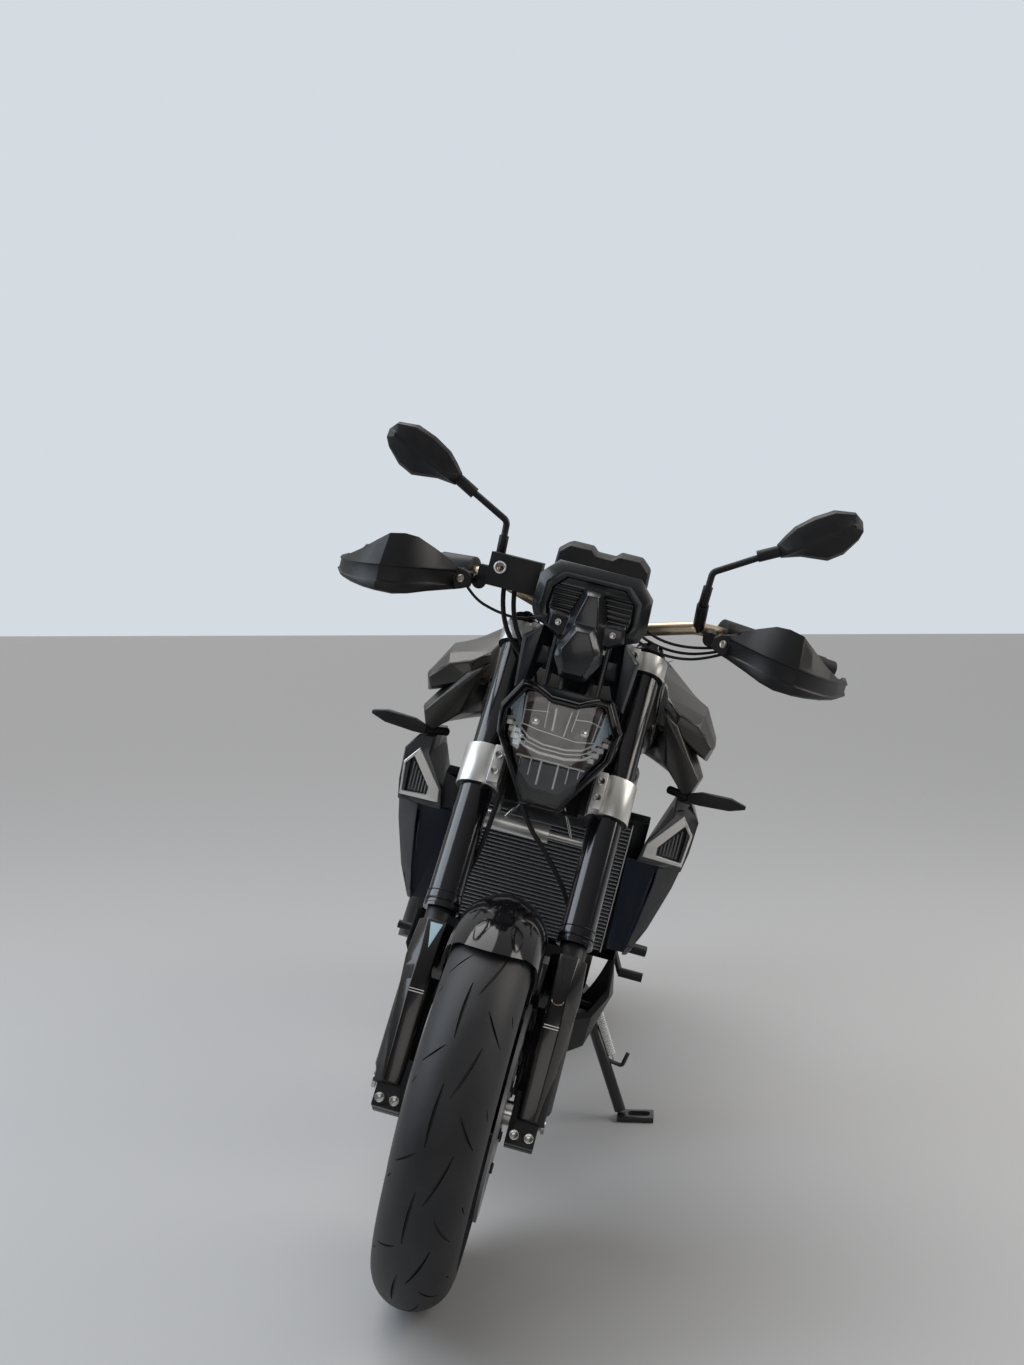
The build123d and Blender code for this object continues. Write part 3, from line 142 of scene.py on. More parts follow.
cast_black = finish("cast_black", (0.009, 0.009, 0.010), (0.016, 0.016, 0.018), metallic=0.2, rough=(0.36, 0.5),
                    grain=650, bump=0.25, shine=0.4)
frame_paint = finish("frame_paint", (0.008, 0.008, 0.009), (0.014, 0.014, 0.015), rough=(0.24, 0.36), bump=0.03,
                     coat=0.2)
moulded_black = finish("moulded_black", (0.006, 0.006, 0.007), (0.011, 0.011, 0.012), rough=(0.38, 0.5), grain=1500,
                       bump=0.3, shine=0.32)
satin_black = finish("satin_black", (0.008, 0.009, 0.011), (0.015, 0.017, 0.020), metallic=0.15, rough=(0.24, 0.34),
                     grain=1600, bump=0.04, coat=0.15, shine=0.5)
slate_panel = finish("slate_panel", (0.020, 0.023, 0.028), (0.030, 0.034, 0.041), metallic=0.4, rough=(0.3, 0.4),
                     grain=1600, bump=0.05, coat=0.1)
cover_bronze = finish("cover_bronze", (0.012, 0.011, 0.011), (0.020, 0.017, 0.016), metallic=0.4, rough=(0.16, 0.24),
                      grain=1800, bump=0.03, coat=0.3)
navy_plastic = finish("navy_plastic", (0.006, 0.010, 0.020), (0.010, 0.015, 0.030), rough=(0.34, 0.46), grain=1400,
                      bump=0.15, shine=0.4)
tank_paint = finish("tank_paint", (0.050, 0.048, 0.045), (0.072, 0.069, 0.065), metallic=0.6, rough=(0.32, 0.4),
                    grain=3000, bump=0.08, coat=0.1)
shroud_paint = finish("shroud_paint", (0.060, 0.061, 0.064), (0.082, 0.084, 0.088), metallic=0.6, rough=(0.3, 0.38),
                      grain=3000, bump=0.06, coat=0.15)
seat_vinyl = finish("seat_vinyl", (0.008, 0.008, 0.009), (0.014, 0.014, 0.015), rough=(0.5, 0.62), grain=1100,
                    bump=0.45, shine=0.4)
print("dark finishes", len(bpy.data.materials))

# %% Metals and lenses
bare_alloy = finish("bare_alloy", (0.68, 0.67, 0.64), (0.78, 0.77, 0.74), metallic=0.65, rough=(0.28, 0.38), grain=900,
                    bump=0.06)
warm_alloy = finish("warm_alloy", (0.60, 0.55, 0.47), (0.70, 0.65, 0.57), metallic=0.9, rough=(0.3, 0.4), grain=900,
                    bump=0.06)
dark_alloy = finish("dark_alloy", (0.10, 0.10, 0.105), (0.16, 0.16, 0.165), metallic=0.8, rough=(0.34, 0.44), grain=700,
                    bump=0.1)
bar_gold = finish("bar_gold", (0.50, 0.40, 0.29), (0.60, 0.49, 0.36), metallic=0.9, rough=(0.24, 0.32), grain=900,
                  bump=0.03)
bright_steel = finish("bright_steel", (0.5, 0.49, 0.47), (0.62, 0.61, 0.59), metallic=1.0, rough=(0.16, 0.28),
                      bump=0.02)
chrome = finish("chrome", (0.78, 0.78, 0.78), (0.86, 0.86, 0.87), metallic=1.0, rough=(0.05, 0.1), bump=0.0)
smoked_chrome = finish("smoked_chrome", (0.17, 0.145, 0.125), (0.26, 0.225, 0.195), metallic=1.0, rough=(0.1, 0.2),
                       bump=0.0, cloud=20)
disc_steel = finish("disc_steel", (0.26, 0.26, 0.26), (0.36, 0.36, 0.36), metallic=0.9, rough=(0.34, 0.46), grain=900,
                    bump=0.06)
header_steel = finish("header_steel", (0.2, 0.16, 0.12), (0.34, 0.3, 0.26), metallic=1.0, rough=(0.28, 0.42), bump=0.03,
                      cloud=9)
silencer_steel = finish("silencer_steel", (0.05, 0.05, 0.052), (0.09, 0.09, 0.092), metallic=0.9, rough=(0.32, 0.42),
                        grain=500, bump=0.04, stretch=(1, 0.1, 1))
engine_paint = finish("engine_paint", (0.022, 0.022, 0.024), (0.038, 0.038, 0.04), metallic=0.4, rough=(0.4, 0.52),
                      grain=600, bump=0.3)
radiator_alloy = finish("radiator_alloy", (0.34, 0.34, 0.35), (0.46, 0.46, 0.47), metallic=0.5, rough=(0.3, 0.42),
                        grain=800, bump=0.08)
radiator_black = finish("radiator_black", (0.008, 0.009, 0.011), (0.016, 0.017, 0.02), metallic=0.3, rough=(0.4, 0.5),
                        bump=0.05)
chain_steel = finish("chain_steel", (0.16, 0.15, 0.13), (0.26, 0.24, 0.2), metallic=0.9, rough=(0.3, 0.5), grain=600,
                     bump=0.1)
red_lens = finish("red_lens", (0.30, 0.006, 0.006), (0.36, 0.01, 0.01), rough=(0.08, 0.14), bump=0.0, coat=0.6)
lamp_glass = finish("lamp_glass", (0.88, 0.88, 0.89), (0.93, 0.93, 0.94), rough=(0.01, 0.03), bump=0.0)
glass = lamp_glass.node_tree.nodes["Principled BSDF"]
glass.inputs["Transmission Weight"].default_value = 1.0
glass.inputs["IOR"].default_value = 1.45
print("finishes", len(bpy.data.materials))

# %% [markdown]
# Glass that bends light also blocks the lamps, and what lies behind it would go dark. So rays from lamps find a clear
# shader there instead, and every other ray still finds the glass.

# %% Let lamplight through the lens
nodes_of = lamp_glass.node_tree.nodes
links_of = lamp_glass.node_tree.links
clear = nodes_of.new("ShaderNodeBsdfTransparent")
clear.inputs["Color"].default_value = (0.8, 0.8, 0.8, 1)
ray = nodes_of.new("ShaderNodeLightPath")
either = nodes_of.new("ShaderNodeMixShader")
links_of.new(ray.outputs["Is Shadow Ray"], either.inputs["Fac"])
links_of.new(glass.outputs["BSDF"], either.inputs[1])
links_of.new(clear.outputs["BSDF"], either.inputs[2])
links_of.new(either.outputs["Shader"], nodes_of["Material Output"].inputs["Surface"])

# %% Finishes inside the lamp and in the vents
lamp_bronze = finish("lamp_bronze", (0.060, 0.050, 0.043), (0.12, 0.103, 0.09), metallic=0.5, rough=(0.25, 0.35),
                     bump=0.0, cloud=30)
lamp_slate = finish("lamp_slate", (0.028, 0.031, 0.038), (0.05, 0.054, 0.064), metallic=0.4, rough=(0.25, 0.35),
                    bump=0.0, cloud=30)
lamp_silver = finish("lamp_silver", (0.60, 0.60, 0.58), (0.78, 0.78, 0.76), metallic=0.3, rough=(0.2, 0.28), bump=0.0)
# A pale bluish painted reflection of the window: a flat colour that stands in for what a mirror-bright facet shows.
painted_reflection_blue = finish("painted_reflection_blue", (0.42, 0.62, 0.74), (0.58, 0.76, 0.86), metallic=0.2, rough=(0.22, 0.3), bump=0.0)
vent_grey = finish("vent_grey", (0.22, 0.225, 0.235), (0.30, 0.305, 0.315), metallic=0.3, rough=(0.4, 0.5), grain=1500,
                   bump=0.3)
print("finishes", len(bpy.data.materials))

# %% [markdown]
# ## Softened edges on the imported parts
# Moulded plastic and castings have no razor edges: a radius of about a millimetre catches a thin line of light, and
# that line is what makes a dark machine readable. It could be faked in the shader, but a real bevel survives export.
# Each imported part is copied, its loose triangles are merged and flattened back into whole faces, and its sharp edges
# get a small bevel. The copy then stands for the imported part.

# %% Small helpers for objects and for edit mode
def added(name, data):
    # A new object in the scene, which holds the given mesh, curve, light or camera.
    piece = bpy.data.objects.new(name, data)
    bpy.context.collection.objects.link(piece)
    return piece


def only(piece):
    bpy.ops.object.select_all(action="DESELECT")
    piece.select_set(True)
    bpy.context.view_layer.objects.active = piece


def pick(piece, test):
    # Selects the faces whose centre and normal pass the test, and leaves the piece in edit mode.
    bpy.ops.object.mode_set(mode="EDIT")
    bpy.ops.mesh.select_mode(type="FACE")
    bpy.ops.mesh.select_all(action="DESELECT")
    bpy.ops.object.mode_set(mode="OBJECT")
    for face in piece.data.polygons:
        face.select = bool(test(face.center, face.normal))
    bpy.ops.object.mode_set(mode="EDIT")


def merged(piece, threshold=0.0):
    # Joins points that lie together, where a distance is given, and turns every face outward.
    only(piece)
    bpy.ops.object.mode_set(mode="EDIT")
    bpy.ops.mesh.select_all(action="SELECT")
    if threshold:
        bpy.ops.mesh.remove_doubles(threshold=threshold)
    bpy.ops.mesh.normals_make_consistent(inside=False)
    bpy.ops.object.mode_set(mode="OBJECT")


def repaint(piece, material, test):
    # Gives the faces that pass the test a second finish, and counts them.
    piece.data.materials.append(material)
    chosen = [face for face in piece.data.polygons if test(face.center, face.normal)]
    for face in chosen:
        face.material_index = 1
    return len(chosen)


print("helpers for edit mode ready")


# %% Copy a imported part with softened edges
SAME_POINT = 0.00003  # metres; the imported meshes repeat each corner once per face


def soften(node, material, width, crisp=34, clamped=False):
    source = nodes[node]
    piece = added(node + "_dressed", source.data.copy())
    only(piece)
    bpy.ops.object.mode_set(mode="EDIT")
    bpy.ops.mesh.select_all(action="SELECT")
    bpy.ops.mesh.remove_doubles(threshold=SAME_POINT)
    bpy.ops.mesh.dissolve_limited(angle_limit=math.radians(1.5))
    bpy.ops.object.mode_set(mode="OBJECT")
    edge = piece.modifiers.new("edge", "BEVEL")
    edge.width, edge.segments = width / 1000, 2
    edge.limit_method, edge.angle_limit = "ANGLE", math.radians(32)
    edge.use_clamp_overlap = clamped
    bpy.ops.object.modifier_apply(modifier="edge")
    bpy.ops.object.shade_smooth_by_angle(angle=math.radians(crisp))
    piece.data.materials.clear()
    piece.data.materials.append(material)
    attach(piece, source["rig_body"])
    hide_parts(node)
    return piece


# %% Which part gets which finish and which edge
SOFTENED = [  # part, finish, slot in the record, edge in mm
    ("front_rim", anodised_black, "gloss_black", 1.2), ("rear_rim", anodised_black, "gloss_black", 1.2),
    ("fork_covers", cover_bronze, "gloss_black_plastic", 1.6), ("fork_bottoms", cast_black, "cast_black", 1.2),
    ("front_calipers", cast_black, "cast_black", 3.0), ("lower_clamp", bare_alloy, "silver_alloy", 1.6),
    ("upper_clamp", bare_alloy, "silver_alloy", 1.6), ("headlamp_housing", gloss_black, "gloss_black_plastic", 1.4),
    ("lamp_bracket", slate_panel, "black_plastic", 1.2), ("nose_cover", satin_black, "black_plastic", 1.5),
    ("fly_screen", satin_black, "black_plastic", 1.2), ("instrument", moulded_black, "black_plastic", 2.5),
    ("hand_guards", moulded_black, "black_plastic", 0.8), ("mirror_left", moulded_black, "black_plastic", 1.6),
    ("mirror_right", moulded_black, "black_plastic", 1.6), ("radiator_shrouds", shroud_paint, "panel_grey", 1.6),
    ("indicators", moulded_black, "black_plastic", 1.2), ("belly_spoiler", moulded_black, "black_plastic", 1.6),
    ("fuel_tank", tank_paint, "tank_paint", 6.0), ("tank_panels", tank_paint, "tank_paint", 3.0),
    ("tail_cover", slate_panel, "panel_grey", 3.0), ("plate_holder", moulded_black, "black_plastic", 1.5),
    ("crankcase", engine_paint, "engine_grey", 3.0), ("cylinders", engine_paint, "engine_grey", 2.0),
    ("engine_covers", engine_paint, "engine_grey", 3.0), ("swingarm", dark_alloy, "silver_alloy_dark", 3.0),
    ("silencer", silencer_steel, "brushed", 3.0), ("footrests", cast_black, "cast_black", 1.5),
    ("rear_caliper", cast_black, "cast_black", 1.5), ("rear_hugger", moulded_black, "black_plastic", 0.8),
    ("side_stand", frame_paint, "frame_black", 1.2), ("tail_lamp", red_lens, "red_lens", 1.5),
    ("controls_left", moulded_black, "black_plastic", 1.0), ("controls_right", moulded_black, "black_plastic", 1.0),
]
CRISP = {"hand_guards": 48, "mirror_left": 44, "mirror_right": 44, "fuel_tank": 40}
CLAMPED = ("mirror_left", "mirror_right", "controls_left", "controls_right", "upper_clamp", "lower_clamp")
dressed = {}
for node, material, slot, width in SOFTENED:
    dressed[node] = soften(node, material, width, crisp=CRISP.get(node, 34), clamped=node in CLAMPED)
print("softened", len(dressed), "parts,", sum(len(o.data.polygons) for o in dressed.values()), "faces")

# %% [markdown]
# Turned and bent parts need no bevel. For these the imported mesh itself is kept: a Weld modifier joins its corners and
# an Edge Split keeps the crisp ones, so that tubes look round.

# %% Dress the round parts
def dress(node, material, angle=32):
    part = nodes[node]
    if not part.material_slots:
        part.data.materials.append(material)
    for slot in part.material_slots:
        slot.material = material
    part.data.polygons.foreach_set("use_smooth", [True] * len(part.data.polygons))
    weld = part.modifiers.new("weld", "WELD")
    weld.merge_threshold = 0.00002
    crisp = part.modifiers.new("crisp", "EDGE_SPLIT")
    crisp.split_angle = math.radians(angle)


ROUND = {
    "front_tyre": tyre_rubber, "rear_tyre": tyre_rubber, "front_discs": disc_steel, "rear_disc": disc_steel,
    "rear_sprocket": disc_steel, "fork_outer_tubes": tube_black, "front_axle": bright_steel,
    "front_mudguard": gloss_black,
    "handlebar": bar_gold, "grips": grip_rubber, "headlamp_lens": lamp_glass, "steering_damper": bare_alloy,
    "brake_hoses": grip_rubber, "main_frame": frame_paint, "rear_subframe": frame_paint, "radiator": radiator_black,
    "exhaust_headers": header_steel, "rider_seat": seat_vinyl, "passenger_seat": seat_vinyl, "rear_axle": bright_steel,
    "rear_shock": cast_black, "chain": chain_steel, "foot_levers": cast_black,
}
for node, material in ROUND.items():
    dress(node, material)
print("dressed", len(ROUND), "and softened", len(dressed), "of", len(nodes))

# %% [markdown]
# ## How the new pieces are modelled
# New pieces are drawn on the upright machine in millimetres, or in the fork's own frame where they are square to it,
# and are set down on the parked machine at the very end. One helper does that: it bakes the place into the mesh, so
# that the object itself stays at the origin, and hangs the piece on the body that carries it. The others make the
# shapes that come back again and again: blocks, plates between two outlines, rings and round bars.

# %% Set a finished piece down
def meshed(piece):
    # Turns a curve into a mesh.
    if piece.type == "MESH":
        return piece
    only(piece)
    bpy.ops.object.convert(target="MESH")
    return bpy.context.object


def settle(piece, matrix, body, material):
    piece = meshed(piece)
    piece.data.transform(matrix @ piece.matrix_world)
    piece.matrix_world = Matrix.Identity(4)
    if not piece.data.materials:
        piece.data.materials.append(material)
    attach(piece, body)
    return piece


def apply_all(piece):
    only(piece)
    for modifier in list(piece.modifiers):
        bpy.ops.object.modifier_apply(modifier=modifier.name)


def copy_of(piece, matrix):
    twin = piece.copy()
    twin.data = piece.data.copy()
    bpy.context.collection.objects.link(twin)
    twin.data.transform(matrix)
    return twin


def joined(name, pieces):
    pieces = [meshed(piece) for piece in pieces]
    bpy.ops.object.select_all(action="DESELECT")
    for piece in pieces:
        piece.select_set(True)
    bpy.context.view_layer.objects.active = pieces[0]
    bpy.ops.object.join()
    whole = bpy.context.object
    whole.name = name
    return whole


print("helpers for placing ready")


# %% Blocks, plates, rings and bars
def block(name, low, high, edge=0.0, rounds=2):
    # A bevelled block between two corners.
    bpy.ops.mesh.primitive_cube_add(size=1, location=[(a + b) / 2 for a, b in zip(low, high)])
    piece = bpy.context.object
    piece.name = name
    piece.dimensions = [abs(b - a) for a, b in zip(low, high)]
    bpy.ops.object.transform_apply()
    if edge:
        bpy.ops.object.mode_set(mode="EDIT")
        bpy.ops.mesh.select_all(action="SELECT")
        bpy.ops.mesh.bevel(offset=edge, segments=rounds, affect="EDGES")
        bpy.ops.object.mode_set(mode="OBJECT")
    return piece


def solid(name, spots, faces, edge):
    # A closed mesh from points and faces, with all its edges bevelled.
    mesh = bpy.data.meshes.new(name)
    mesh.from_pydata(spots, [], faces)
    piece = added(name, mesh)
    merged(piece)
    bpy.ops.object.mode_set(mode="EDIT")
    bpy.ops.mesh.bevel(offset=edge, segments=2, affect="EDGES")
    bpy.ops.object.mode_set(mode="OBJECT")
    return piece


def plate_between(name, top, low, edge):
    # A plate between two outlines that have the same number of points.
    n = len(top)
    sides = [(i, n + i, n + (i + 1) % n, (i + 1) % n) for i in range(n)]
    return solid(name, top + low, [tuple(range(n)), tuple(range(2 * n - 1, n - 1, -1))] + sides, edge)


def inlay(name, corners, thick, lift=0.0, edge=0.3):
    # A thin plate through corner points that faces forward and stands proud of them by the lift.
    spots = [Vector(c) for c in corners]
    out = (spots[1] - spots[0]).cross(spots[2] - spots[0]).normalized()
    if out.y > 0:
        out.negate()
    return plate_between(name, [v + out * lift for v in spots], [v - out * thick for v in spots], edge)


def hoop(place, radius, thick, rotation=(0, 0, 0), around=48, sides=8):
    bpy.ops.mesh.primitive_torus_add(major_radius=radius, minor_radius=thick, major_segments=around,
                                     minor_segments=sides, location=place, rotation=rotation)
    bpy.ops.object.shade_smooth()
    return bpy.context.object


def tube(name, points, radius, curved=False, steps=12, sides=4):
    # A round bar along a line through a few points, straight between them or curved.
    line = bpy.data.curves.new(name, "CURVE")
    line.dimensions, line.resolution_u, line.bevel_depth, line.bevel_resolution = "3D", steps, radius, sides
    line.use_fill_caps = True
    spline = line.splines.new("NURBS" if curved else "POLY")
    spline.points.add(len(points) - 1)
    for spot, place in zip(spline.points, points):
        spot.co = (*place, 1)
    if curved:
        spline.order_u, spline.use_endpoint_u = 3, True
    return added(name, line)


print("helpers ready")

# %% [markdown]
# ## Headlamp
# The lamp is the face of the machine. Behind its clear panes lie a smoked reflector with two shallow dishes, bright
# upright fins, a pale ledge under them and, behind the lower pane, a dark box with fine upright lines. The reflector is
# a grid pushed back into two dishes, which keeps an even mesh where a boolean would leave slivers.

# %% Reflector with two dishes
def between(value, table):
    # Reads a table of (value, result) pairs along straight lines.
    for (a, fa), (b, fb) in zip(table, table[1:]):
        if value <= b:
            return fa + (fb - fa) * max(0.0, (value - a) / (b - a))
    return table[-1][1]


def formed_grid(name, columns, rows, form):
    # A grid whose points, given as -1 to 1 across and up, are moved to where the form puts them.
    bpy.ops.mesh.primitive_grid_add(x_subdivisions=columns, y_subdivisions=rows, size=2, location=(0, 0, 0))
    piece = bpy.context.object
    piece.name = name
    for v in piece.data.vertices:
        v.co = form(v.co.x, v.co.y)
    bpy.ops.object.shade_smooth()
    return piece


def in_lamp(name, pieces, material):
    return settle(joined(name, pieces), UPRIGHT, "fork", material)


HALF_WIDTH = [(790, 58), (817, 75), (852, 79), (880, 66), (892, 58)]
DISHES = [(-40, 846, 31), (40, 846, 31)]  # middle across, middle up, radius


def reflector_form(wide, high):
    z = 841 + 50 * high
    x = wide * between(z, HALF_WIDTH)
    z -= 10 * max(0.0, high) * max(0.0, 1 - abs(x) / 34)
    depth = 199 - 9 * (x / 80) ** 2
    for cx, cz, r in DISHES:
        far = math.hypot(x - cx, z - cz) / r
        depth += 11 * max(0.0, 1 - far * far)
        depth -= 1.6 * math.exp(-((far - 1.05) / 0.06) ** 2)
    return x, depth, z


reflector = formed_grid("lamp_reflector", 72, 40, reflector_form)
settle(reflector, UPRIGHT, "fork", lamp_bronze)
print("reflector faces", len(reflector.data.polygons))

# %% Fins, ledges and the lower box
fins = []
for x, top, low, wide in ((-66, 872, 846, 1.4), (-57, 884, 838, 1.8), (-22, 884, 842, 1.4), (-9, 876, 840, 3.0),
                          (10, 876, 836, 2.0), (20, 882, 846, 1.4), (54, 886, 838, 1.6), (61, 882, 836, 1.6),
                          (68, 874, 840, 1.2)):
    lean = 4 if x > 0 else -2
    fin = block("fin", (x - wide / 2, 180, low), (x + wide / 2, 198, top), 0.4, 1)
    for v in fin.data.vertices:
        v.co.x += lean * (v.co.z - low) / 40
    fins.append(fin)
in_lamp("lamp_fins", fins, lamp_silver)
LEDGE = [(-72, 187, 826), (-46, 178, 808), (-20, 174, 803), (20, 174, 803), (46, 178, 808), (72, 187, 826)]
ledges = []
for lift, r, depth in ((0, 2.2, 0), (7, 1.1, 6), (13, 1.5, 10)):
    ledges.append(tube("ledge", [(x * (1 - lift / 160), y + depth, z + lift) for x, y, z in LEDGE], r))
in_lamp("lamp_ledges", ledges, lamp_silver)
lines = [block("line", (x - 0.8, 184, 742 + abs(x) * 0.75), (x + 0.8, 192, 792), 0.2, 1) for x in (-46, -30, 30, 46)]
lines += [block("line", (x - 1.4, 184, 742 + abs(x) * 0.75), (x + 1.4, 193, 790), 0.2, 1) for x in (-14, 13)]
lines += [block("sill", (-54, 183, 790), (54, 192, 792.4), 0.4, 1)]
in_lamp("lamp_lines", lines, lamp_silver)


def lower_form(wide, high):
    z = 768 + 24 * high
    x = wide * between(z, [(744, 22), (768, 46), (792, 60)])
    return x, 194.5 - 7 * (x / 60) ** 2, z


settle(formed_grid("lamp_lower_box", 30, 16, lower_form), UPRIGHT, "fork", lamp_slate)
print("fins", len(fins), "ledges", len(ledges), "lines", len(lines))

# %% Bright steps behind the side panes, and the two bulbs
steps = []
for side in (-1, 1):
    for n in range(4):
        x, z = side * (76 - 5.5 * n), 838 - 9.5 * n
        step = block("step", (x - 5, 181 - n * 0.5, z - 4), (x + 5, 192, z + 4), 1.2, 2)
        steps.append(step)
in_lamp("lamp_steps", steps, lamp_silver)
bulbs = []
for cx, cz, r in DISHES:
    bpy.ops.mesh.primitive_uv_sphere_add(segments=24, ring_count=12, radius=9, location=(cx, 206, cz))
    bpy.ops.transform.resize(value=(1, 0.7, 1))
    bpy.ops.object.transform_apply()
    bpy.ops.object.shade_smooth()
    bulbs.append(bpy.context.object)
in_lamp("lamp_bulbs", bulbs, chrome)
print("steps", len(steps), "bulbs", len(bulbs))

# %% [markdown]
# The side panes of the lamp show what the middle doesn't: a facet above, where the reflector's edge is cut back,
# whose pale bluish colour is a painted reflection of the window, and under it a ladder of small bright prisms. Each is
# a thin plate between three or four points.

# %% Side facets, prisms and rails
facets, prisms = [], []
for side in (-1, 1):
    facets.append(inlay("facet", [(side * 84, 194, 862), (side * 66, 192, 894), (side * 57, 183, 828)], 1.5))
# The pale blue of these facets is a painted reflection of the window, not the lamp's own colour.
in_lamp("lamp_facets", facets, painted_reflection_blue)
for side in (-1, 1):
    for n in range(5):
        z = 846 - 9 * n
        x0, x1 = side * (82 - 5 * n), side * (66 - 5 * n)
        prisms.append(inlay("prism", [(x0, 193, z), (x1, 184, z + 5), (x1, 184, z - 1), (x0, 193, z - 5)], 1.2))
in_lamp("lamp_prisms", prisms, lamp_silver)
rails = [tube("rail", [(-62, 181, 842), (-30, 178, 837), (30, 178, 833), (62, 183, 838)], 0.8),
         tube("rail", [(-60, 184, 862), (-34, 182, 866), (-20, 182, 868)], 0.7),
         tube("rail", [(22, 182, 866), (44, 182, 869), (62, 184, 864)], 0.9)]
in_lamp("lamp_rails", rails, lamp_silver)
print("facets", len(facets), "prisms", len(prisms))

# %% [markdown]
# ## Tyres with cut tread
# A sport tyre has few, long, thin grooves that fade out at both ends. Painting them in the shader leaves a flat tyre,
# so they are cut. The tyre is one profile spun round the axle. One groove cutter is a slim block, subdivided along its
# length and narrowed at the ends; its copies are laid on the tread by a small map from the flat pattern, which is drawn
# in millimetres along the rim and across the crown, to the round tyre. One boolean then cuts them all.

# %% From the flat pattern to the round tyre
def on_tread(flat, radius, crown):
    along, across, lift = flat
    a, b = along / radius, across / crown
    reach = (radius - crown) + (crown + lift) * math.cos(b)
    return Vector(((crown + lift) * math.sin(b), -reach * math.sin(a), reach * math.cos(a)))


def groove(start, end, wide, depth, bow):
    # A cutter from start to end on the flat pattern, widest in the middle.
    bpy.ops.mesh.primitive_cube_add(size=2, location=(0, 0, 0))
    piece = bpy.context.object
    bpy.ops.object.mode_set(mode="EDIT")
    bpy.ops.mesh.select_all(action="DESELECT")
    bpy.ops.object.mode_set(mode="OBJECT")
    for edge in piece.data.edges:
        a, b = (piece.data.vertices[i].co for i in edge.vertices)
        edge.select = abs(a.x - b.x) > 1
    bpy.ops.object.mode_set(mode="EDIT")
    bpy.ops.mesh.select_mode(type="EDGE")
    bpy.ops.mesh.subdivide(number_cuts=7)
    bpy.ops.object.mode_set(mode="OBJECT")
    a, b = Vector((*start, 0)), Vector((*end, 0))
    along = (b - a).normalized()
    side = Vector((-along.y, along.x, 0))
    for v in piece.data.vertices:
        share = (v.co.x + 1) / 2
        full = max(0.12, math.sin(math.pi * (0.06 + 0.88 * share)) ** 0.7)
        spot = a + (b - a) * share + side * (v.co.y * wide / 2 * full + bow * math.sin(math.pi * share))
        v.co = (spot.x, spot.y, 3.0 if v.co.z > 0 else -depth * full)
    return piece


TREAD = [  # start along and across, end along and across, width, depth, bow
    ((-85, -12), (0, -15), 4.6, 4.5, -1.5), ((2, 25), (76, 1), 4.2, 4.5, 1.5), ((10, -24), (36, -58), 3.2, 3.5, 1.0),
    ((-50, 20), (-8, 52), 3.6, 4.0, -2.0), ((58, -62), (70, -70), 2.6, 2.5, 0.0), ((-66, 60), (-50, 68), 2.6, 2.5, 0.0),
]
print("grooves in one repeat", len(TREAD))


# %% Spin a profile into a tyre
BEAD_SEAT, CROWN_STEPS, SLICES = 216.4, 12, 150  # radius in mm, steps over half a crown, slices round the tyre


def spun_tyre(name, radius, width, crown, bead):
    half, drop = width / 2, crown - math.sqrt(crown ** 2 - (width / 2 * 0.97) ** 2)
    turns = [math.asin(width / 2 * 0.97 / crown) * n / CROWN_STEPS for n in range(CROWN_STEPS + 1)]
    right = [(crown * math.sin(a), radius - crown + crown * math.cos(a)) for a in turns]
    right += [(half, radius - drop - 10), (half + 0.6, radius - drop - 16), (half, radius - drop - 24),
              (bead / 2 + 2, 232), (bead / 2 - 1, 226), (bead / 2 - 1, BEAD_SEAT), (bead / 2 - 10, BEAD_SEAT),
              (bead / 2 - 6, 236)]
    outline = right + [(0, radius - 12)] + [(-x, r) for x, r in reversed(right[1:])]
    mesh = bpy.data.meshes.new(name)
    mesh.from_pydata([(x, 0, r) for x, r in outline], [(n, (n + 1) % len(outline)) for n in range(len(outline))], [])
    piece = added(name, mesh)
    only(piece)
    bpy.ops.object.mode_set(mode="EDIT")
    bpy.ops.mesh.select_all(action="SELECT")
    bpy.ops.mesh.spin(steps=SLICES, angle=math.tau, center=(0, 0, 0), axis=(1, 0, 0), use_auto_merge=True)
    bpy.ops.object.mode_set(mode="OBJECT")
    merged(piece, 0.01)
    return piece


def cut_tread(tyre, radius, crown, repeats, spread):
    pitch = math.tau * radius / repeats
    cutters = []
    for start, end, wide, depth, bow in TREAD:
        first = groove((start[0], start[1] * spread), (end[0], end[1] * spread), wide, depth, bow)
        flat = [v.co.copy() for v in first.data.vertices]
        for n in range(repeats):
            twin = first if n == 0 else copy_of(first, Matrix.Identity(4))
            for v, place in zip(twin.data.vertices, flat):
                v.co = on_tread(place + Vector((n * pitch, 0, 0)), radius, crown)
            cutters.append(twin)
    knife = joined("tread_cutters", cutters)
    merged(knife)
    only(tyre)
    cut = tyre.modifiers.new("tread", "BOOLEAN")
    cut.operation, cut.object, cut.solver = "DIFFERENCE", knife, "EXACT"
    bpy.ops.object.modifier_apply(modifier="tread")
    bpy.data.objects.remove(knife)
    bpy.ops.object.shade_smooth_by_angle(angle=math.radians(35))
    return tyre


# %% Both tyres
WHEELS = [  # name, node, body, radius, width, crown, bead width, repeats, spread of the pattern, hub
    ("front_tyre_cut", "front_tyre", "front_wheel", 299.85, 120.0, 60.0, 88.0, 13, 1.0, (0, 0, 300.0)),
    ("rear_tyre_cut", "rear_tyre", "rear_wheel", 315.0, 180.0, 92.0, 138.0, 13, 1.35, (0, 1518.0, 315.0)),
]
for name, node, body, radius, width, crown, bead, repeats, spread, hub in WHEELS:
    tyre = cut_tread(spun_tyre(name, radius, width, crown, bead), radius, crown, repeats, spread)
    settle(tyre, UPRIGHT @ Matrix.Translation(hub), body, tyre_rubber)
    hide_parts(node)
    print(name, "faces", len(tyre.data.polygons))

# %% [markdown]
# ## Fasteners
# Socket screws are what the eye looks for on a fork: two on each lower clamp, one on each upper clamp, two under each
# axle lug. One screw is a short cylinder with its face inset and pushed in, and a softened rim; the rest are copies.

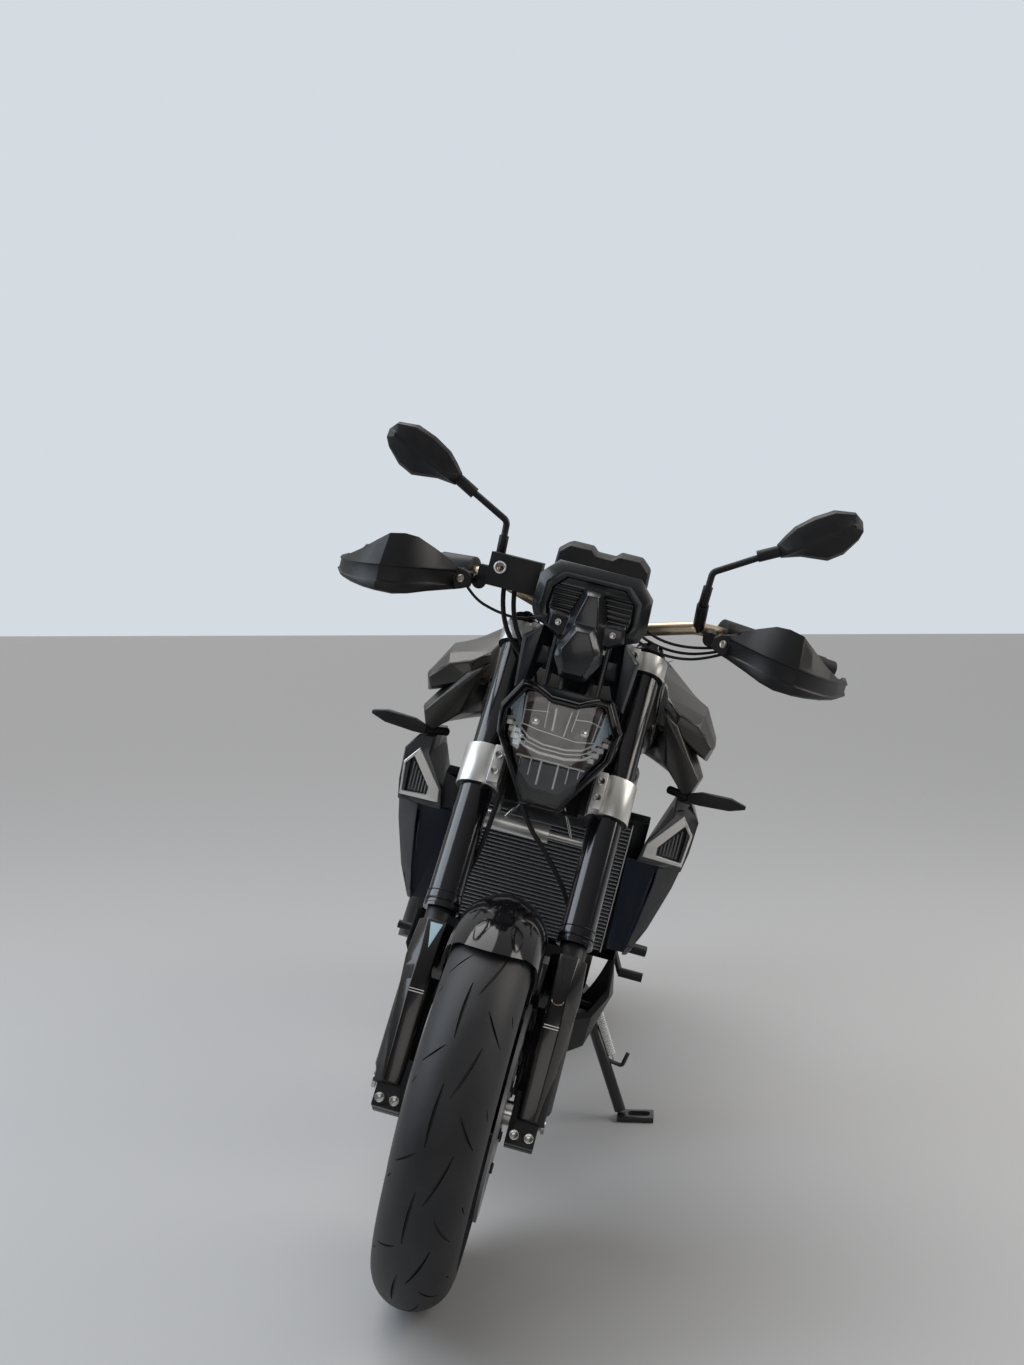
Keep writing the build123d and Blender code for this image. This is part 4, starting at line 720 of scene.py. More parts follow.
# %% One socket screw, and a matrix that aims it
def socket_screw(radius, height):
    bpy.ops.mesh.primitive_cylinder_add(vertices=28, radius=radius, depth=height, location=(0, 0, height / 2))
    piece = bpy.context.object
    bpy.ops.object.transform_apply()
    pick(piece, lambda c, n: n.z > 0.9)
    bpy.ops.mesh.inset(thickness=radius * 0.2, depth=0)
    bpy.ops.mesh.inset(thickness=radius * 0.12, depth=-height * 0.12)
    bpy.ops.mesh.inset(thickness=radius * 0.18, depth=0)
    bpy.ops.mesh.extrude_region_move(TRANSFORM_OT_translate={"value": (0, 0, -height * 0.55)})
    bpy.ops.object.mode_set(mode="OBJECT")
    soft = piece.modifiers.new("rim", "BEVEL")
    soft.width, soft.segments, soft.limit_method = radius * 0.08, 2, "ANGLE"
    apply_all(piece)
    bpy.ops.object.shade_smooth_by_angle(angle=math.radians(40))
    return piece


def aimed(place, way):
    return Matrix.Translation(place) @ Vector(way).to_track_quat("Z", "Y").to_matrix().to_4x4()


def screws(name, spots, radius, height, matrix, body, material):
    first = socket_screw(radius, height)
    twins = [copy_of(first, aimed(place, way)) for place, way in spots]
    bpy.data.objects.remove(first)
    return settle(joined(name, twins), matrix, body, material)


# %% Screws on the fork, the guards and the nose
front = (0, -1, 0)
clamp_spots = [((s * 83, -91.0, z), front) for s in (-1, 1) for z in (813, 841)]
clamp_spots += [((s * 83, -90.0, 1067), front) for s in (-1, 1)]
lug_spots = [((s * x, -76.4, 285), front) for s in (-1, 1) for x in (90, 112)]
caliper_spots = [((s * 101, -20, z), (s, 0, 0)) for s in (-1, 1) for z in (364, 446)]
guard_spots = [((s * 217, 262, 1031), (-s * 0.8, -0.6, 0)) for s in (-1, 1)]
nose_spots = [((s * 44, 226.5, 1004), front) for s in (-1, 1)]
SCREWS = [  # name, places and ways, radius, height, frame of the places, finish
    ("clamp_screws", clamp_spots, 6.6, 4.5, FORK, bright_steel),
    ("lug_screws", lug_spots, 7.4, 4.0, FORK, bright_steel),
    ("guard_screws", guard_spots, 6.4, 5.0, UPRIGHT, warm_alloy),
    ("nose_screws", nose_spots, 5.2, 4.0, UPRIGHT, bright_steel),
    ("caliper_screws", caliper_spots, 7.5, 7.0, FORK, bright_steel),
]
for name, spots, radius, height, matrix, material in SCREWS:
    screws(name, spots, radius, height, matrix, "fork", material)
ring = [(math.cos(n * math.pi / 4), math.sin(n * math.pi / 4)) for n in range(8)]
button_spots = [((s * 69.3, 88 * c, 300 + 88 * d), (s, 0, 0)) for s in (-1, 1) for c, d in ring]
screws("disc_buttons", button_spots, 8.0, 3.0, UPRIGHT, "front_wheel", anodised_black)
print("screws placed")

# %% [markdown]
# The brake fluid reservoir has a round sight glass with a pale ring. It is a torus round a dark lens.

# %% Sight glass
sight_ring = hoop((-160, 291, 1062), 8.6, 1.9, (math.radians(90), 0, 0), 36, 10)
settle(sight_ring, UPRIGHT, "fork", bare_alloy).name = "sight_glass_ring"
eye = socket_screw(6.6, 2.5)
eye.name = "sight_glass"
settle(eye, UPRIGHT @ aimed((-160, 292.2, 1062), front), "fork", smoked_chrome)
print("sight glass placed")

# %% [markdown]
# ## Radiator and its shrouds
# A radiator's face is a stack of thin flat tubes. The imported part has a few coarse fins, so its copy loses them and
# gets a dark plate with one thin slat repeated every 7 mm, each with a rounded front that catches a fine line of light.

# %% Slats over the core
CORE_HALF, CORE_HIGH, SLAT_PITCH, SLAT_HIGH = 150, 243, 7, 1.5
tilt = math.atan2(50, 238)
RADIATOR = UPRIGHT @ (Matrix.Translation((0, 452, 452)) @ Matrix.Rotation(tilt, 4, "X"))
radiator = soften("radiator", radiator_black, 1.0)
into_core = RADIATOR.inverted()


def is_old_fin(center, normal):
    spot = into_core @ center
    return spot.y < 7.8 and abs(spot.x) < 149.5 and 0.5 < spot.z < 242.5


pick(radiator, is_old_fin)
bpy.ops.mesh.delete(type="FACE")
bpy.ops.object.mode_set(mode="OBJECT")
backing = block("radiator_backing", (-CORE_HALF, 7.2, 0), (CORE_HALF, 9.0, CORE_HIGH), 0.3, 1)
settle(backing, RADIATOR, "chassis", radiator_black)
slats = []
for z in range(3, CORE_HIGH - 2, SLAT_PITCH):
    slats.append(block("slat", (-CORE_HALF, 0.6, z), (CORE_HALF, 8.0, z + SLAT_HIGH), 0.4, 1))
settle(joined("radiator_slats", slats), RADIATOR, "chassis", radiator_alloy)
edges = [block("edge", (s * 150.5, 0.6, 0), (s * 153, 4, CORE_HIGH), 0.5, 1) for s in (-1, 1)]
settle(joined("radiator_edges", edges), RADIATOR, "chassis", bare_alloy)
print("slats", len(slats))

# %% [markdown]
# Each shroud is moulded in two colours: satin grey outside and deep navy between its fin and the core. The faces
# are told apart by their place, so that the two colours meet on the moulding's own edges. A bright frame with a mitred
# corner sits round the vent above.

# %% Two colours on the shrouds
FIN_LINE = [(464, 188), (520, 198), (600, 208), (634, 211)]
PLATE_LINE = [(464, 444), (520, 432), (600, 416), (634, 409)]
to_upright = UPRIGHT.inverted()


def is_navy(center, normal):
    spot = to_upright @ center
    inner, plate = between(spot.z, FIN_LINE), between(spot.z, PLATE_LINE)
    is_plate = abs(spot.x) < inner + 1.0 and spot.y < 470 and 462 < spot.z < 633
    is_facet = spot.y < plate - 3 and abs(spot.x) < inner - 3
    return is_plate and not is_facet


print("navy faces", repaint(dressed["radiator_shrouds"], navy_plastic, is_navy))

# %% Bright frames round the vents, and a ribbed plate inside
FRAME_OUTER = [(179, 645), (247, 643), (252, 700), (230, 729), (182, 668)]
FRAME_INNER = [(201, 653), (244, 650), (248, 698), (236, 713), (200, 666)]


def vent_frame(side):
    outer = [Vector((side * x, 393.5 + 0.03 * (x - 180), z)) for x, z in FRAME_OUTER]
    inner = [Vector((side * x, 392.0 + 0.03 * (x - 180), z)) for x, z in FRAME_INNER]
    back = [v + Vector((0, 9, 0)) for v in outer + inner]
    n = len(outer)
    faces = []
    for i in range(n):
        j = (i + 1) % n
        faces += [(i, j, n + j, n + i), (2 * n + i, 3 * n + i, 3 * n + j, 2 * n + j),
                  (i, 2 * n + i, 2 * n + j, j), (n + i, n + j, 3 * n + j, 3 * n + i)]
    return solid("vent_frame", outer + inner + back, faces, 1.2)


settle(joined("vent_frames", [vent_frame(s) for s in (-1, 1)]), UPRIGHT, "chassis", bare_alloy)
ribs = []
for side in (-1, 1):
    for n in range(7):
        x = 200 + 5.6 * n
        ribs.append(block("rib", (side * x, 407, 652), (side * (x + 2.6), 412, 664 + 6.2 * n), 0.6, 1))
settle(joined("vent_ribs", ribs), UPRIGHT, "chassis", vent_grey)
print("ribs", len(ribs))

# %% [markdown]
# ## Small forms on the fork
# Each raked tube ends in a thin seal ring, each lower cover carries a triangular facet where two planes of the
# moulding meet, a silver line at its step and, on the other leg, a thin gold ring. The left facet is coloured with the
# pale painted reflection of the window, so its brightness is a painted highlight, and the right one keeps the cover's
# own dark finish. They stand a fraction of a millimetre proud of the cover, as inlays do.

# %% Seal rings
rings = [hoop((side * 106, -48.2, up), radius, thick) for side in (-1, 1)
         for up, radius, thick in ((590, 27.7, 1.1), (611, 27.4, 0.9), (597, 28.2, 0.8), (1094, 26.6, 1.2))]
settle(joined("seal_rings", rings), FORK, "fork", anodised_black)
print("seal rings", len(rings))

# %% Facets, step lines and ring on the covers
COVER_FRONT = [(309, -80), (443, -90), (500, -98), (560, -86)]  # height and depth of a cover's front face
PROUD, FINE_EDGE = 0.5, 0.25


def on_cover(across, up):
    return across, between(up, COVER_FRONT), up


lines = []
for side in (-1, 1):
    corners = [on_cover(side * 93, 554), on_cover(side * 112, 554), on_cover(side * 104, 512)]
    facet = inlay("cover_facet", corners, 1.0, PROUD, FINE_EDGE)
    # The left facet gets the painted reflection as a painted highlight; the right one keeps the cover's dark finish.
    settle(facet, FORK, "fork", (painted_reflection_blue, cover_bronze)[side > 0])
    for low in (444, 448):
        ends = [(side * 92, low), (side * 115, low), (side * 115, low + 1.3), (side * 92, low + 1.3)]
        lines.append(inlay("line", [on_cover(*end) for end in ends], 0.6, PROUD, FINE_EDGE))
settle(joined("cover_lines", lines), FORK, "fork", bare_alloy)
gold_ring = hoop((103, -95.6, 486), 9, 0.8, (math.radians(82), 0, 0))
bpy.ops.transform.resize(value=(1, 1, 0.72))
gold_ring.name = "cover_ring"
settle(gold_ring, FORK, "fork", bar_gold)
print("fork forms placed")

# %% [markdown]
# The two clamps are bright only around the tubes. The web between them is black, so those faces take a cast finish.

# %% Black webs between the clamps
to_fork = FORK.inverted()
for node, half in (("lower_clamp", 68), ("upper_clamp", 72)):
    webs = repaint(dressed[node], cast_black, lambda c, n: abs((to_fork @ c).x) < half)
    print(node, "web faces", webs)

# %% [markdown]
# ## Hoses and cables
# A braided brake hose is stiff and springy: it bends only in wide curves. Each is one NURBS line through the route that
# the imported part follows, with a round bevel. The end points hold the line at its fittings, and order 3 keeps the
# curve close to the route without any corner.

# %% A cord on the fork
def run_of(piece):
    # The length of a curve, measured along it without its thickness.
    bare = piece.data.copy()
    bare.bevel_depth = 0.0
    probe = added("probe", bare)
    bpy.context.view_layer.update()
    mesh = bpy.data.meshes.new_from_object(probe.evaluated_get(bpy.context.evaluated_depsgraph_get()))
    total = sum((mesh.vertices[e.vertices[0]].co - mesh.vertices[e.vertices[1]].co).length for e in mesh.edges)
    bpy.data.objects.remove(probe)
    return total


def cable(name, route, matrix, diameter):
    # A cord on the fork that goes back into the object at its far end.
    places = [matrix @ Vector(place) for place in route]
    piece = tube(name, places, diameter / 2, curved=True, steps=24, sides=5)
    piece.data.materials.append(grip_rubber)
    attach(piece, "fork")
    length = round(run_of(piece), 3)
    print(name, "length", length)
    return piece


print("cord helpers ready")

# %% Brake hoses
HOSES = [  # x, back and up in the fork's frame, mm
    [(-150, -120, 1114.5), (-142, -96, 1060), (-66, -72, 1000), (-66, -66, 720), (-92, 2, 640), (-90, 8, 560),
     (-78, 50, 458)],
    [(-132, -120, 1114.5), (-124, -98, 1060), (-52, -78, 1000), (-52, -72, 790), (60, -30, 690), (92, 2, 640),
     (90, 8, 560), (78, 50, 458)],
]
hoses = [cable(f"brake_hose_{n}", route, FORK, 0.008) for n, route in enumerate(HOSES)]
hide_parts("brake_hoses")

# %% [markdown]
# ## Guard brackets and the small cables under the bar
# Each hand guard hangs on a short moulded bracket that ends at its screw, and an arm runs back from there to the
# controls. They are flat plates with a bevelled edge, made from an outline. Clutch and switch cables leave the left
# controls in a loose bundle below the bar, and a thin hose leaves the other side. They are thin and bend easily.

# %% Brackets behind the guards
BRACKET = [(243, 1012), (243, 1046), (228, 1048), (209, 1045), (199, 1038), (198, 1021), (210, 1015), (224, 1010)]
ARM = [(224, 1016), (224, 1042), (206, 1042), (206, 1016)]
plates = []
for side in (-1, 1):
    for outline, near, far, edge in ((BRACKET, 264, 276, 2.0), (ARM, 274, 352, 3.0)):
        plates.append(plate_between("plate", [(side * x, near, z) for x, z in outline],
                                    [(side * x, far, z) for x, z in outline], edge))
brackets = settle(joined("guard_brackets", plates), UPRIGHT, "fork", moulded_black)
print("brackets", len(brackets.data.polygons), "faces")

# %% Cables under the bar
BUNDLE = [  # x, back and up on the upright machine, mm
    [(226, 356, 1024), (196, 372, 1012), (150, 378, 1004), (112, 366, 1008), (84, 348, 1022), (60, 338, 1022)],
    [(226, 360, 1018), (190, 376, 1000), (146, 384, 992), (104, 370, 998), (76, 350, 1012), (52, 340, 1012)],
    [(228, 352, 1014), (198, 366, 996), (158, 370, 984), (110, 358, 986), (80, 344, 1000), (56, 334, 1004)],
    [(-214, 340, 1020), (-196, 350, 1000), (-160, 356, 988), (-118, 352, 984), (-84, 346, 996), (-60, 336, 1004)],
]
for n, route in enumerate(BUNDLE):
    cable(f"bar_cable_{n}", route, UPRIGHT, 0.0048)

# %% [markdown]
# ## Drive chain
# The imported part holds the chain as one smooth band. The real one is a row of links on one pitch line: inner links with
# two rollers, outer links with two pins. Each plate is a twelve-sided disc drawn out by one pitch, which costs only a
# few faces, and the links are walked round both sprockets at even steps.

# %% The pitch line round both sprockets
CHAIN_X, FRONT, REAR = 108.0, (862.0, 432.0, 38.0), (1518.0, 315.0, 100.0)  # across; sprockets: back, up, radius
CHAIN_PITCH, TEETH = 15.875, 40


def pitch_line():
    gap = Vector((REAR[0] - FRONT[0], REAR[1] - FRONT[1]))
    slope = math.atan2(gap.y, gap.x)
    lean = math.asin((REAR[2] - FRONT[2]) / gap.length)
    top, low = slope + math.pi / 2 + lean, slope - math.pi / 2 - lean
    spots = []
    for (y, z, r), start, end in ((FRONT, top, low + 2 * math.pi), (REAR, low, top)):
        for i in range(121):
            a = start + (end - start) * i / 120
            spots.append(Vector((CHAIN_X, y + r * math.cos(a), z + r * math.sin(a))))
    return spots + spots[:1]


def walk(line, count):
    # Evenly spaced points on a closed line.
    lengths = [(b - a).length for a, b in zip(line, line[1:])]
    step, spots, at, i = sum(lengths) / count, [], 0.0, 0
    for n in range(count):
        goal = n * step
        while at + lengths[i] < goal:
            at += lengths[i]
            i += 1
        spots.append(line[i].lerp(line[i + 1], (goal - at) / lengths[i]))
    return spots


line = pitch_line()
total = sum((b - a).length for a, b in zip(line, line[1:]))
LINKS = 2 * round(total / CHAIN_PITCH / 2)
pins = walk(line, LINKS)
print("chain length", round(total), "mm, links", LINKS)


# %% One inner and one outer link, and the whole chain
def disc(radius, x0, x1, sides, y=0.0):
    bpy.ops.mesh.primitive_cylinder_add(vertices=sides, radius=radius, depth=x1 - x0, location=((x0 + x1) / 2, y, 0),
                                        rotation=(0, math.radians(90), 0))
    bpy.ops.object.transform_apply()
    return bpy.context.object


def plate(x0, x1, pitch):
    piece = disc(5.6, x0, x1, 12)
    for v in piece.data.vertices:
        if v.co.y > 0.01:
            v.co.y += pitch
    return piece


pitch = total / LINKS
inner = joined("inner", [plate(-5.2, -3.6, pitch), plate(3.6, 5.2, pitch), disc(4.6, -3.6, 3.6, 10),
                         disc(4.6, -3.6, 3.6, 10, pitch)])
outer = joined("outer", [plate(-7.4, -5.6, pitch), plate(5.6, 7.4, pitch), disc(2.4, -8.8, 8.8, 8),
                         disc(2.4, -8.8, 8.8, 8, pitch)])
links = []
for n in range(LINKS):
    here = pins[n]
    way = pins[(n + 1) % LINKS] - here
    turn = Matrix.Rotation(math.atan2(way.z, way.y), 4, "X")
    links.append(copy_of((inner, outer)[n % 2], Matrix.Translation(here) @ turn))
bpy.data.objects.remove(inner)
bpy.data.objects.remove(outer)
links = joined("chain_links", links)
settle(links, UPRIGHT, "chassis", chain_steel)
bpy.ops.object.shade_smooth_by_angle(angle=math.radians(35))
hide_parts("chain")
print("chain faces", len(links.data.polygons))

# %% Teeth on the rear sprocket
# An even count that four divides leaves the teeth between the rollers at every quarter turn of the wheel.
teeth = []
last_pin = max(pins, key=lambda p: p.y)
phase = math.atan2(last_pin.z - REAR[1], last_pin.y - REAR[0]) + math.pi / TEETH
first = block("tooth", (CHAIN_X - 2.6, 92.0, -3.4), (CHAIN_X + 2.6, 98.6, 3.4), 0.6, 1)
for v in first.data.vertices:
    if v.co.y > 96:
        v.co.z *= 0.45
for n in range(TEETH):
    teeth.append(copy_of(first, Matrix.Translation((0, REAR[0], REAR[1]))
                         @ Matrix.Rotation(phase + 2 * math.pi * n / TEETH, 4, "X")))
bpy.data.objects.remove(first)
settle(joined("sprocket_teeth", teeth), UPRIGHT, "rear_wheel", disc_steel)
print("teeth", TEETH)

# %% [markdown]
# ## Seats
# A seat is foam under a stretched vinyl cover: it bulges between its edges and is flat where it sits on its pan. The
# packed block is remeshed to an even grid and blown up a little by the cloth solver, with its underside pinned. Each
# point may move only a few millimetres, so the seat stays in its place. Seams are laid on afterwards.

# %% Inflate one seat
GRID, MOST, SUNK = 0.006, 0.005, 0.003  # metres: remesh size, farthest a point may move, start below the surface


def cushion(node):
    source = nodes[node]
    piece = added(node + "_cushion", source.data.copy())
    merged(piece, SAME_POINT)
    bpy.ops.object.shade_smooth()
    grid = piece.modifiers.new("grid", "REMESH")
    grid.mode, grid.voxel_size = "VOXEL", GRID
    bpy.ops.object.modifier_apply(modifier="grid")
    for v in piece.data.vertices:
        v.co -= v.normal * SUNK
    start = [v.co.copy() for v in piece.data.vertices]
    held = piece.vertex_groups.new(name="held")
    held.add([v.index for v in piece.data.vertices if v.normal.z < -0.5], 1.0, "REPLACE")
    cloth = piece.modifiers.new("cloth", "CLOTH")
    cloth.settings.use_pressure = True
    cloth.settings.uniform_pressure_force = 4.0
    cloth.settings.effector_weights.gravity = 0
    cloth.settings.vertex_group_mass = "held"
    for frame_number in range(1, 21):
        bpy.context.scene.frame_set(frame_number)
    bpy.ops.object.modifier_apply(modifier="cloth")
    bpy.context.scene.frame_set(1)
    for v, rest in zip(piece.data.vertices, start):
        way = v.co - rest
        if way.length > MOST:
            v.co = rest + way.normalized() * MOST
    smooth = piece.modifiers.new("smooth", "SMOOTH")
    smooth.factor, smooth.iterations = 0.5, 6
    finer = piece.modifiers.new("finer", "SUBSURF")
    finer.levels = finer.render_levels = 1
    apply_all(piece)
    piece.vertex_groups.clear()
    piece.data.materials.clear()
    piece.data.materials.append(seat_vinyl)
    bpy.ops.object.shade_smooth()
    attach(piece, source["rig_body"])
    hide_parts(node)
    print(node, "faces", len(piece.data.polygons))
    return piece


rider = cushion("rider_seat")
passenger = cushion("passenger_seat")

# %% [markdown]
# A seam is a welt of folded vinyl with a row of stitches beside it. Its line is found by looking down on the finished
# cushion from above, point by point, and a thin round bead follows those points.

# %% Seams on the seats
def welt(seat, line):
    down = (UPRIGHT.to_3x3() @ Vector((0, 0, -1))).normalized()
    spots = []
    for (x0, y0), (x1, y1) in zip(line, line[1:]):
        for n in range(12):
            share = n / 12
            high = UPRIGHT @ Vector((x0 + (x1 - x0) * share, y0 + (y1 - y0) * share, 990))
            hit, place = seat.ray_cast(high, down)[:2]
            if hit:
                spots.append(place)
    return tube("welt", spots, 0.0014)


WELTS = [  # seat, and the line as seen from above
    (rider, [(-94, 800), (-98, 900), (-104, 1040), (-92, 1130)]),
    (rider, [(94, 800), (98, 900), (104, 1040), (92, 1130)]),
    (rider, [(-96, 880), (0, 865), (96, 880)]), (rider, [(-98, 1060), (0, 1085), (98, 1060)]),
    (passenger, [(-82, 1150), (-78, 1280), (-52, 1400)]), (passenger, [(82, 1150), (78, 1280), (52, 1400)]),
    (passenger, [(-78, 1250), (0, 1240), (78, 1250)]),
]
beads = [welt(seat, line) for seat, line in WELTS]
settle(joined("seat_seams", beads), Matrix.Identity(4), "chassis", seat_vinyl)
print("seams", len(beads))

# %% [markdown]
# ## Engine, stand and mirrors
# The engine is mostly hidden, but its round covers show from both sides: each has a rim of small screws, a raised ring
# and, on the right, an oil filler cap with a ribbed grip. The same screw as on the fork is used again, smaller.

# %% Cover screws, rings and filler cap
def on_circle(x, y, z, r, count, side, start=0.2):
    turns = [start + 2 * math.pi * n / count for n in range(count)]
    return [((x, y + r * math.cos(a), z + r * math.sin(a)), (side, 0, 0)) for a in turns]


spots = on_circle(131.6, 660, 372, 70, 8, 1) + on_circle(-137.6, 772, 396, 84, 10, -1)
spots += on_circle(-125.6, 640, 360, 49, 5, -1, 1.2)
spots += [((133.6, y, z), (1, 0, 0)) for y, z in ((822, 388), (890, 384), (894, 460), (850, 490), (812, 462))]
screws("cover_screws", spots, 4.6, 3.0, UPRIGHT, "chassis", bright_steel)
sideways = (0, math.radians(90), 0)
hoops = [hoop(place, r, 1.6, sideways, 64, 10) for place, r in (
    ((142, 660, 372), 44), ((142, 660, 372), 30), ((-149, 772, 396), 56), ((-149, 772, 396), 34))]
settle(joined("cover_hoops", hoops), UPRIGHT, "chassis", engine_paint)
CAP_SIDES = 48
bpy.ops.mesh.primitive_cylinder_add(vertices=CAP_SIDES, radius=15, depth=16, location=(-133, 640, 360),
                                    rotation=sideways)
cap = bpy.context.object
bpy.ops.object.transform_apply()


def is_rib(c, n):
    # Two sides in every four stand out as a rib.
    return abs(n.x) < 0.1 and round(math.atan2(c.z - 360, c.y - 640) / (math.tau / CAP_SIDES) - 0.5) % 4 < 2


pick(cap, is_rib)
bpy.ops.mesh.extrude_region_shrink_fatten(TRANSFORM_OT_shrink_fatten={"value": 1.6})
pick(cap, lambda c, n: n.x < -0.9 and c.x < -140)
bpy.ops.mesh.inset(thickness=3.5, depth=-1.2)
bpy.ops.object.mode_set(mode="OBJECT")
bpy.ops.object.shade_smooth_by_angle(angle=math.radians(35))
settle(cap, UPRIGHT, "chassis", anodised_black).name = "oil_cap"
print("engine screws", len(spots))

# %% [markdown]
# A side stand is pulled open or shut by a long coil spring beside its leg. A coil is one edge turned and raised at
# once, which is what the Screw modifier does, and its hooks are short bent wires.

# %% Stand spring
PIVOT, WIRE, COIL_RADIUS, COILS = Vector((150, 800, 266)), 1.5, 6.2, 19
ankle = to_upright @ Vector((*(UPRIGHT @ Vector((292, 757, 0))).xy, 0.014))
down = (ankle - PIVOT).normalized()
top, low = PIVOT + down * 18 + Vector((22, -6, 4)), PIVOT + down * 118 + Vector((20, 0, 2))
run_way = low - top
along = run_way.normalized()
bpy.ops.mesh.primitive_circle_add(vertices=10, radius=WIRE, location=(COIL_RADIUS, 0, 0),
                                  rotation=(math.radians(90), 0, 0))
coil = bpy.context.object
bpy.ops.object.transform_apply()
screw = coil.modifiers.new("coil", "SCREW")
screw.axis, screw.iterations, screw.steps, screw.render_steps = "Z", COILS, 16, 16
screw.screw_offset = (run_way.length - 16) / COILS
apply_all(coil)
merged(coil, 0.01)
bpy.ops.object.shade_smooth()
coil.data.transform(aimed(top + along * 8, run_way))
hooks = [tube("hook", [top - down * 14 + Vector((-14, 2, -2)), top, top + along * 9], WIRE),
         tube("hook", [low - along * 9, low, low + down * 2 + Vector((-3, 0, 0))], WIRE)]
for hook in hooks:
    hook.data.materials.append(bright_steel)  # the hooks are bright, and the coil keeps Blender's plain grey
spring = joined("stand_spring", [coil] + hooks)
settle(spring, UPRIGHT, nodes["side_stand"]["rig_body"], bright_steel)
print("spring faces", len(spring.data.polygons))

# %% [markdown]
# The stand's foot is an open loop, a bar bent round a rounded slot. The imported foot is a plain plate, so the slot is
# cut through it with a bevelled block.

# %% Slot in the stand's foot
FOOT = UPRIGHT @ Vector((322, 757, 0))
slot = block("foot_slot", (-14, -13, -20), (28, 13, 40))
only(slot)
bpy.ops.object.mode_set(mode="EDIT")
bpy.ops.mesh.select_mode(type="EDGE")
bpy.ops.mesh.select_all(action="DESELECT")
bpy.ops.object.mode_set(mode="OBJECT")
for edge in slot.data.edges:
    a, b = (slot.data.vertices[v].co for v in edge.vertices)
    edge.select = abs(a.z - b.z) > 1
bpy.ops.object.mode_set(mode="EDIT")
bpy.ops.mesh.bevel(offset=8.0, segments=5, affect="EDGES")
bpy.ops.object.mode_set(mode="OBJECT")
slot.data.transform(Matrix.Translation((FOOT.x, FOOT.y, 0)) @ MM)
stand = dressed["side_stand"]
only(stand)
cut = stand.modifiers.new("slot", "BOOLEAN")
cut.operation, cut.object, cut.solver = "DIFFERENCE", slot, "EXACT"
bpy.ops.object.modifier_apply(modifier="slot")
bpy.data.objects.remove(slot)
print("stand faces", len(stand.data.polygons))

# %% [markdown]
# The mirrors' glass faces the rider. It is the flat rear face of each head in a mirror finish.

# %% Mirror glass
toward_rider = (UPRIGHT.to_3x3() @ Vector((0, 1, 0))).normalized()


def is_mirror_back(c, n):
    place = to_upright @ c
    return n.dot(toward_rider) > 0.93 and place.y > 341 and place.z > 1165 and abs(place.x) > 250


for name in ("mirror_left", "mirror_right"):
    print(name, "glass faces", repaint(dressed[name], chrome, is_mirror_back))

# %% [markdown]
# ## Filler cap and the stays under the lamp
# From the saddle one more thing shows: a round filler cap let into the top of the tank, with a ring of screws and a
# hinged key cover. It is drawn in metres and laid on the tank by a ray from above, which gives both its place and its
# tilt. In front, two short bright stays run from the lamp down to the steering damper.

# %% Filler cap on the tank
above = UPRIGHT @ Vector((0, 640, 1400))
down_way = (UPRIGHT.to_3x3() @ Vector((0, 0, -1))).normalized()
hit, spot, facing = dressed["fuel_tank"].ray_cast(above, down_way)[:3]
print("tank top found", hit, [round(c) for c in to_upright @ spot])
bpy.ops.mesh.primitive_cylinder_add(vertices=64, radius=0.042, depth=0.010, location=(0, 0, 0))
cap_parts = [bpy.context.object]
pick(cap_parts[0], lambda c, n: n.z > 0.9)
for inward, outward in ((0.002, 0.0016), (0.010, 0.0), (0.0015, -0.0016), (0.012, 0.0), (0.001, 0.0022)):
    bpy.ops.mesh.inset(thickness=inward, depth=outward)
bpy.ops.object.mode_set(mode="OBJECT")
for n in range(6):
    turn = math.tau * (n + 0.5) / 6
    head = socket_screw(0.0032, 0.0018)
    head.data.transform(Matrix.Translation((0.0345 * math.cos(turn), 0.0345 * math.sin(turn), 0.0062)))
    cap_parts.append(head)
cap_parts.append(block("key_cover", (-0.009, -0.013, 0.004), (0.009, 0.015, 0.0105), 0.002, 3))
cap_whole = joined("filler_cap", cap_parts)
bpy.ops.object.shade_smooth_by_angle(angle=math.radians(30))
settle(cap_whole, aimed(spot, facing), "chassis", anodised_black)

# %% Stays under the lamp
stays = [tube("stay", [(-10, 244, 742), (-30, 249, 712), (-52, 264, 677)], 2.4, curved=True),
         tube("stay", [(26, 244, 742), (40, 249, 712), (58, 268, 669)], 2.4, curved=True)]
settle(joined("lamp_stays", stays), UPRIGHT, "fork", bright_steel)
print("stays", len(stays))

# %% [markdown]
# ## Floor, light and camera
# A pale floor and a pale room keep the dark machine readable. A wide window high on the left is mirrored by the raked
# fork tubes as a long soft streak, and a weaker one on the right fills the other side. The room is bright above and
# behind the machine and dim behind the camera, so that black plastic stays black where it faces forward.

# %% Floor
bpy.ops.mesh.primitive_plane_add(size=24, location=(0, 6, -0.001))
floor = bpy.context.object
floor.name = "floor"
floor_pale = bpy.data.materials.new("floor_pale")
floor_pale.use_nodes = True
matt = floor_pale.node_tree.nodes["Principled BSDF"]
matt.inputs["Base Color"].default_value = (0.36, 0.36, 0.365, 1)
matt.inputs["Roughness"].default_value = 0.55
floor.data.materials.append(floor_pale)

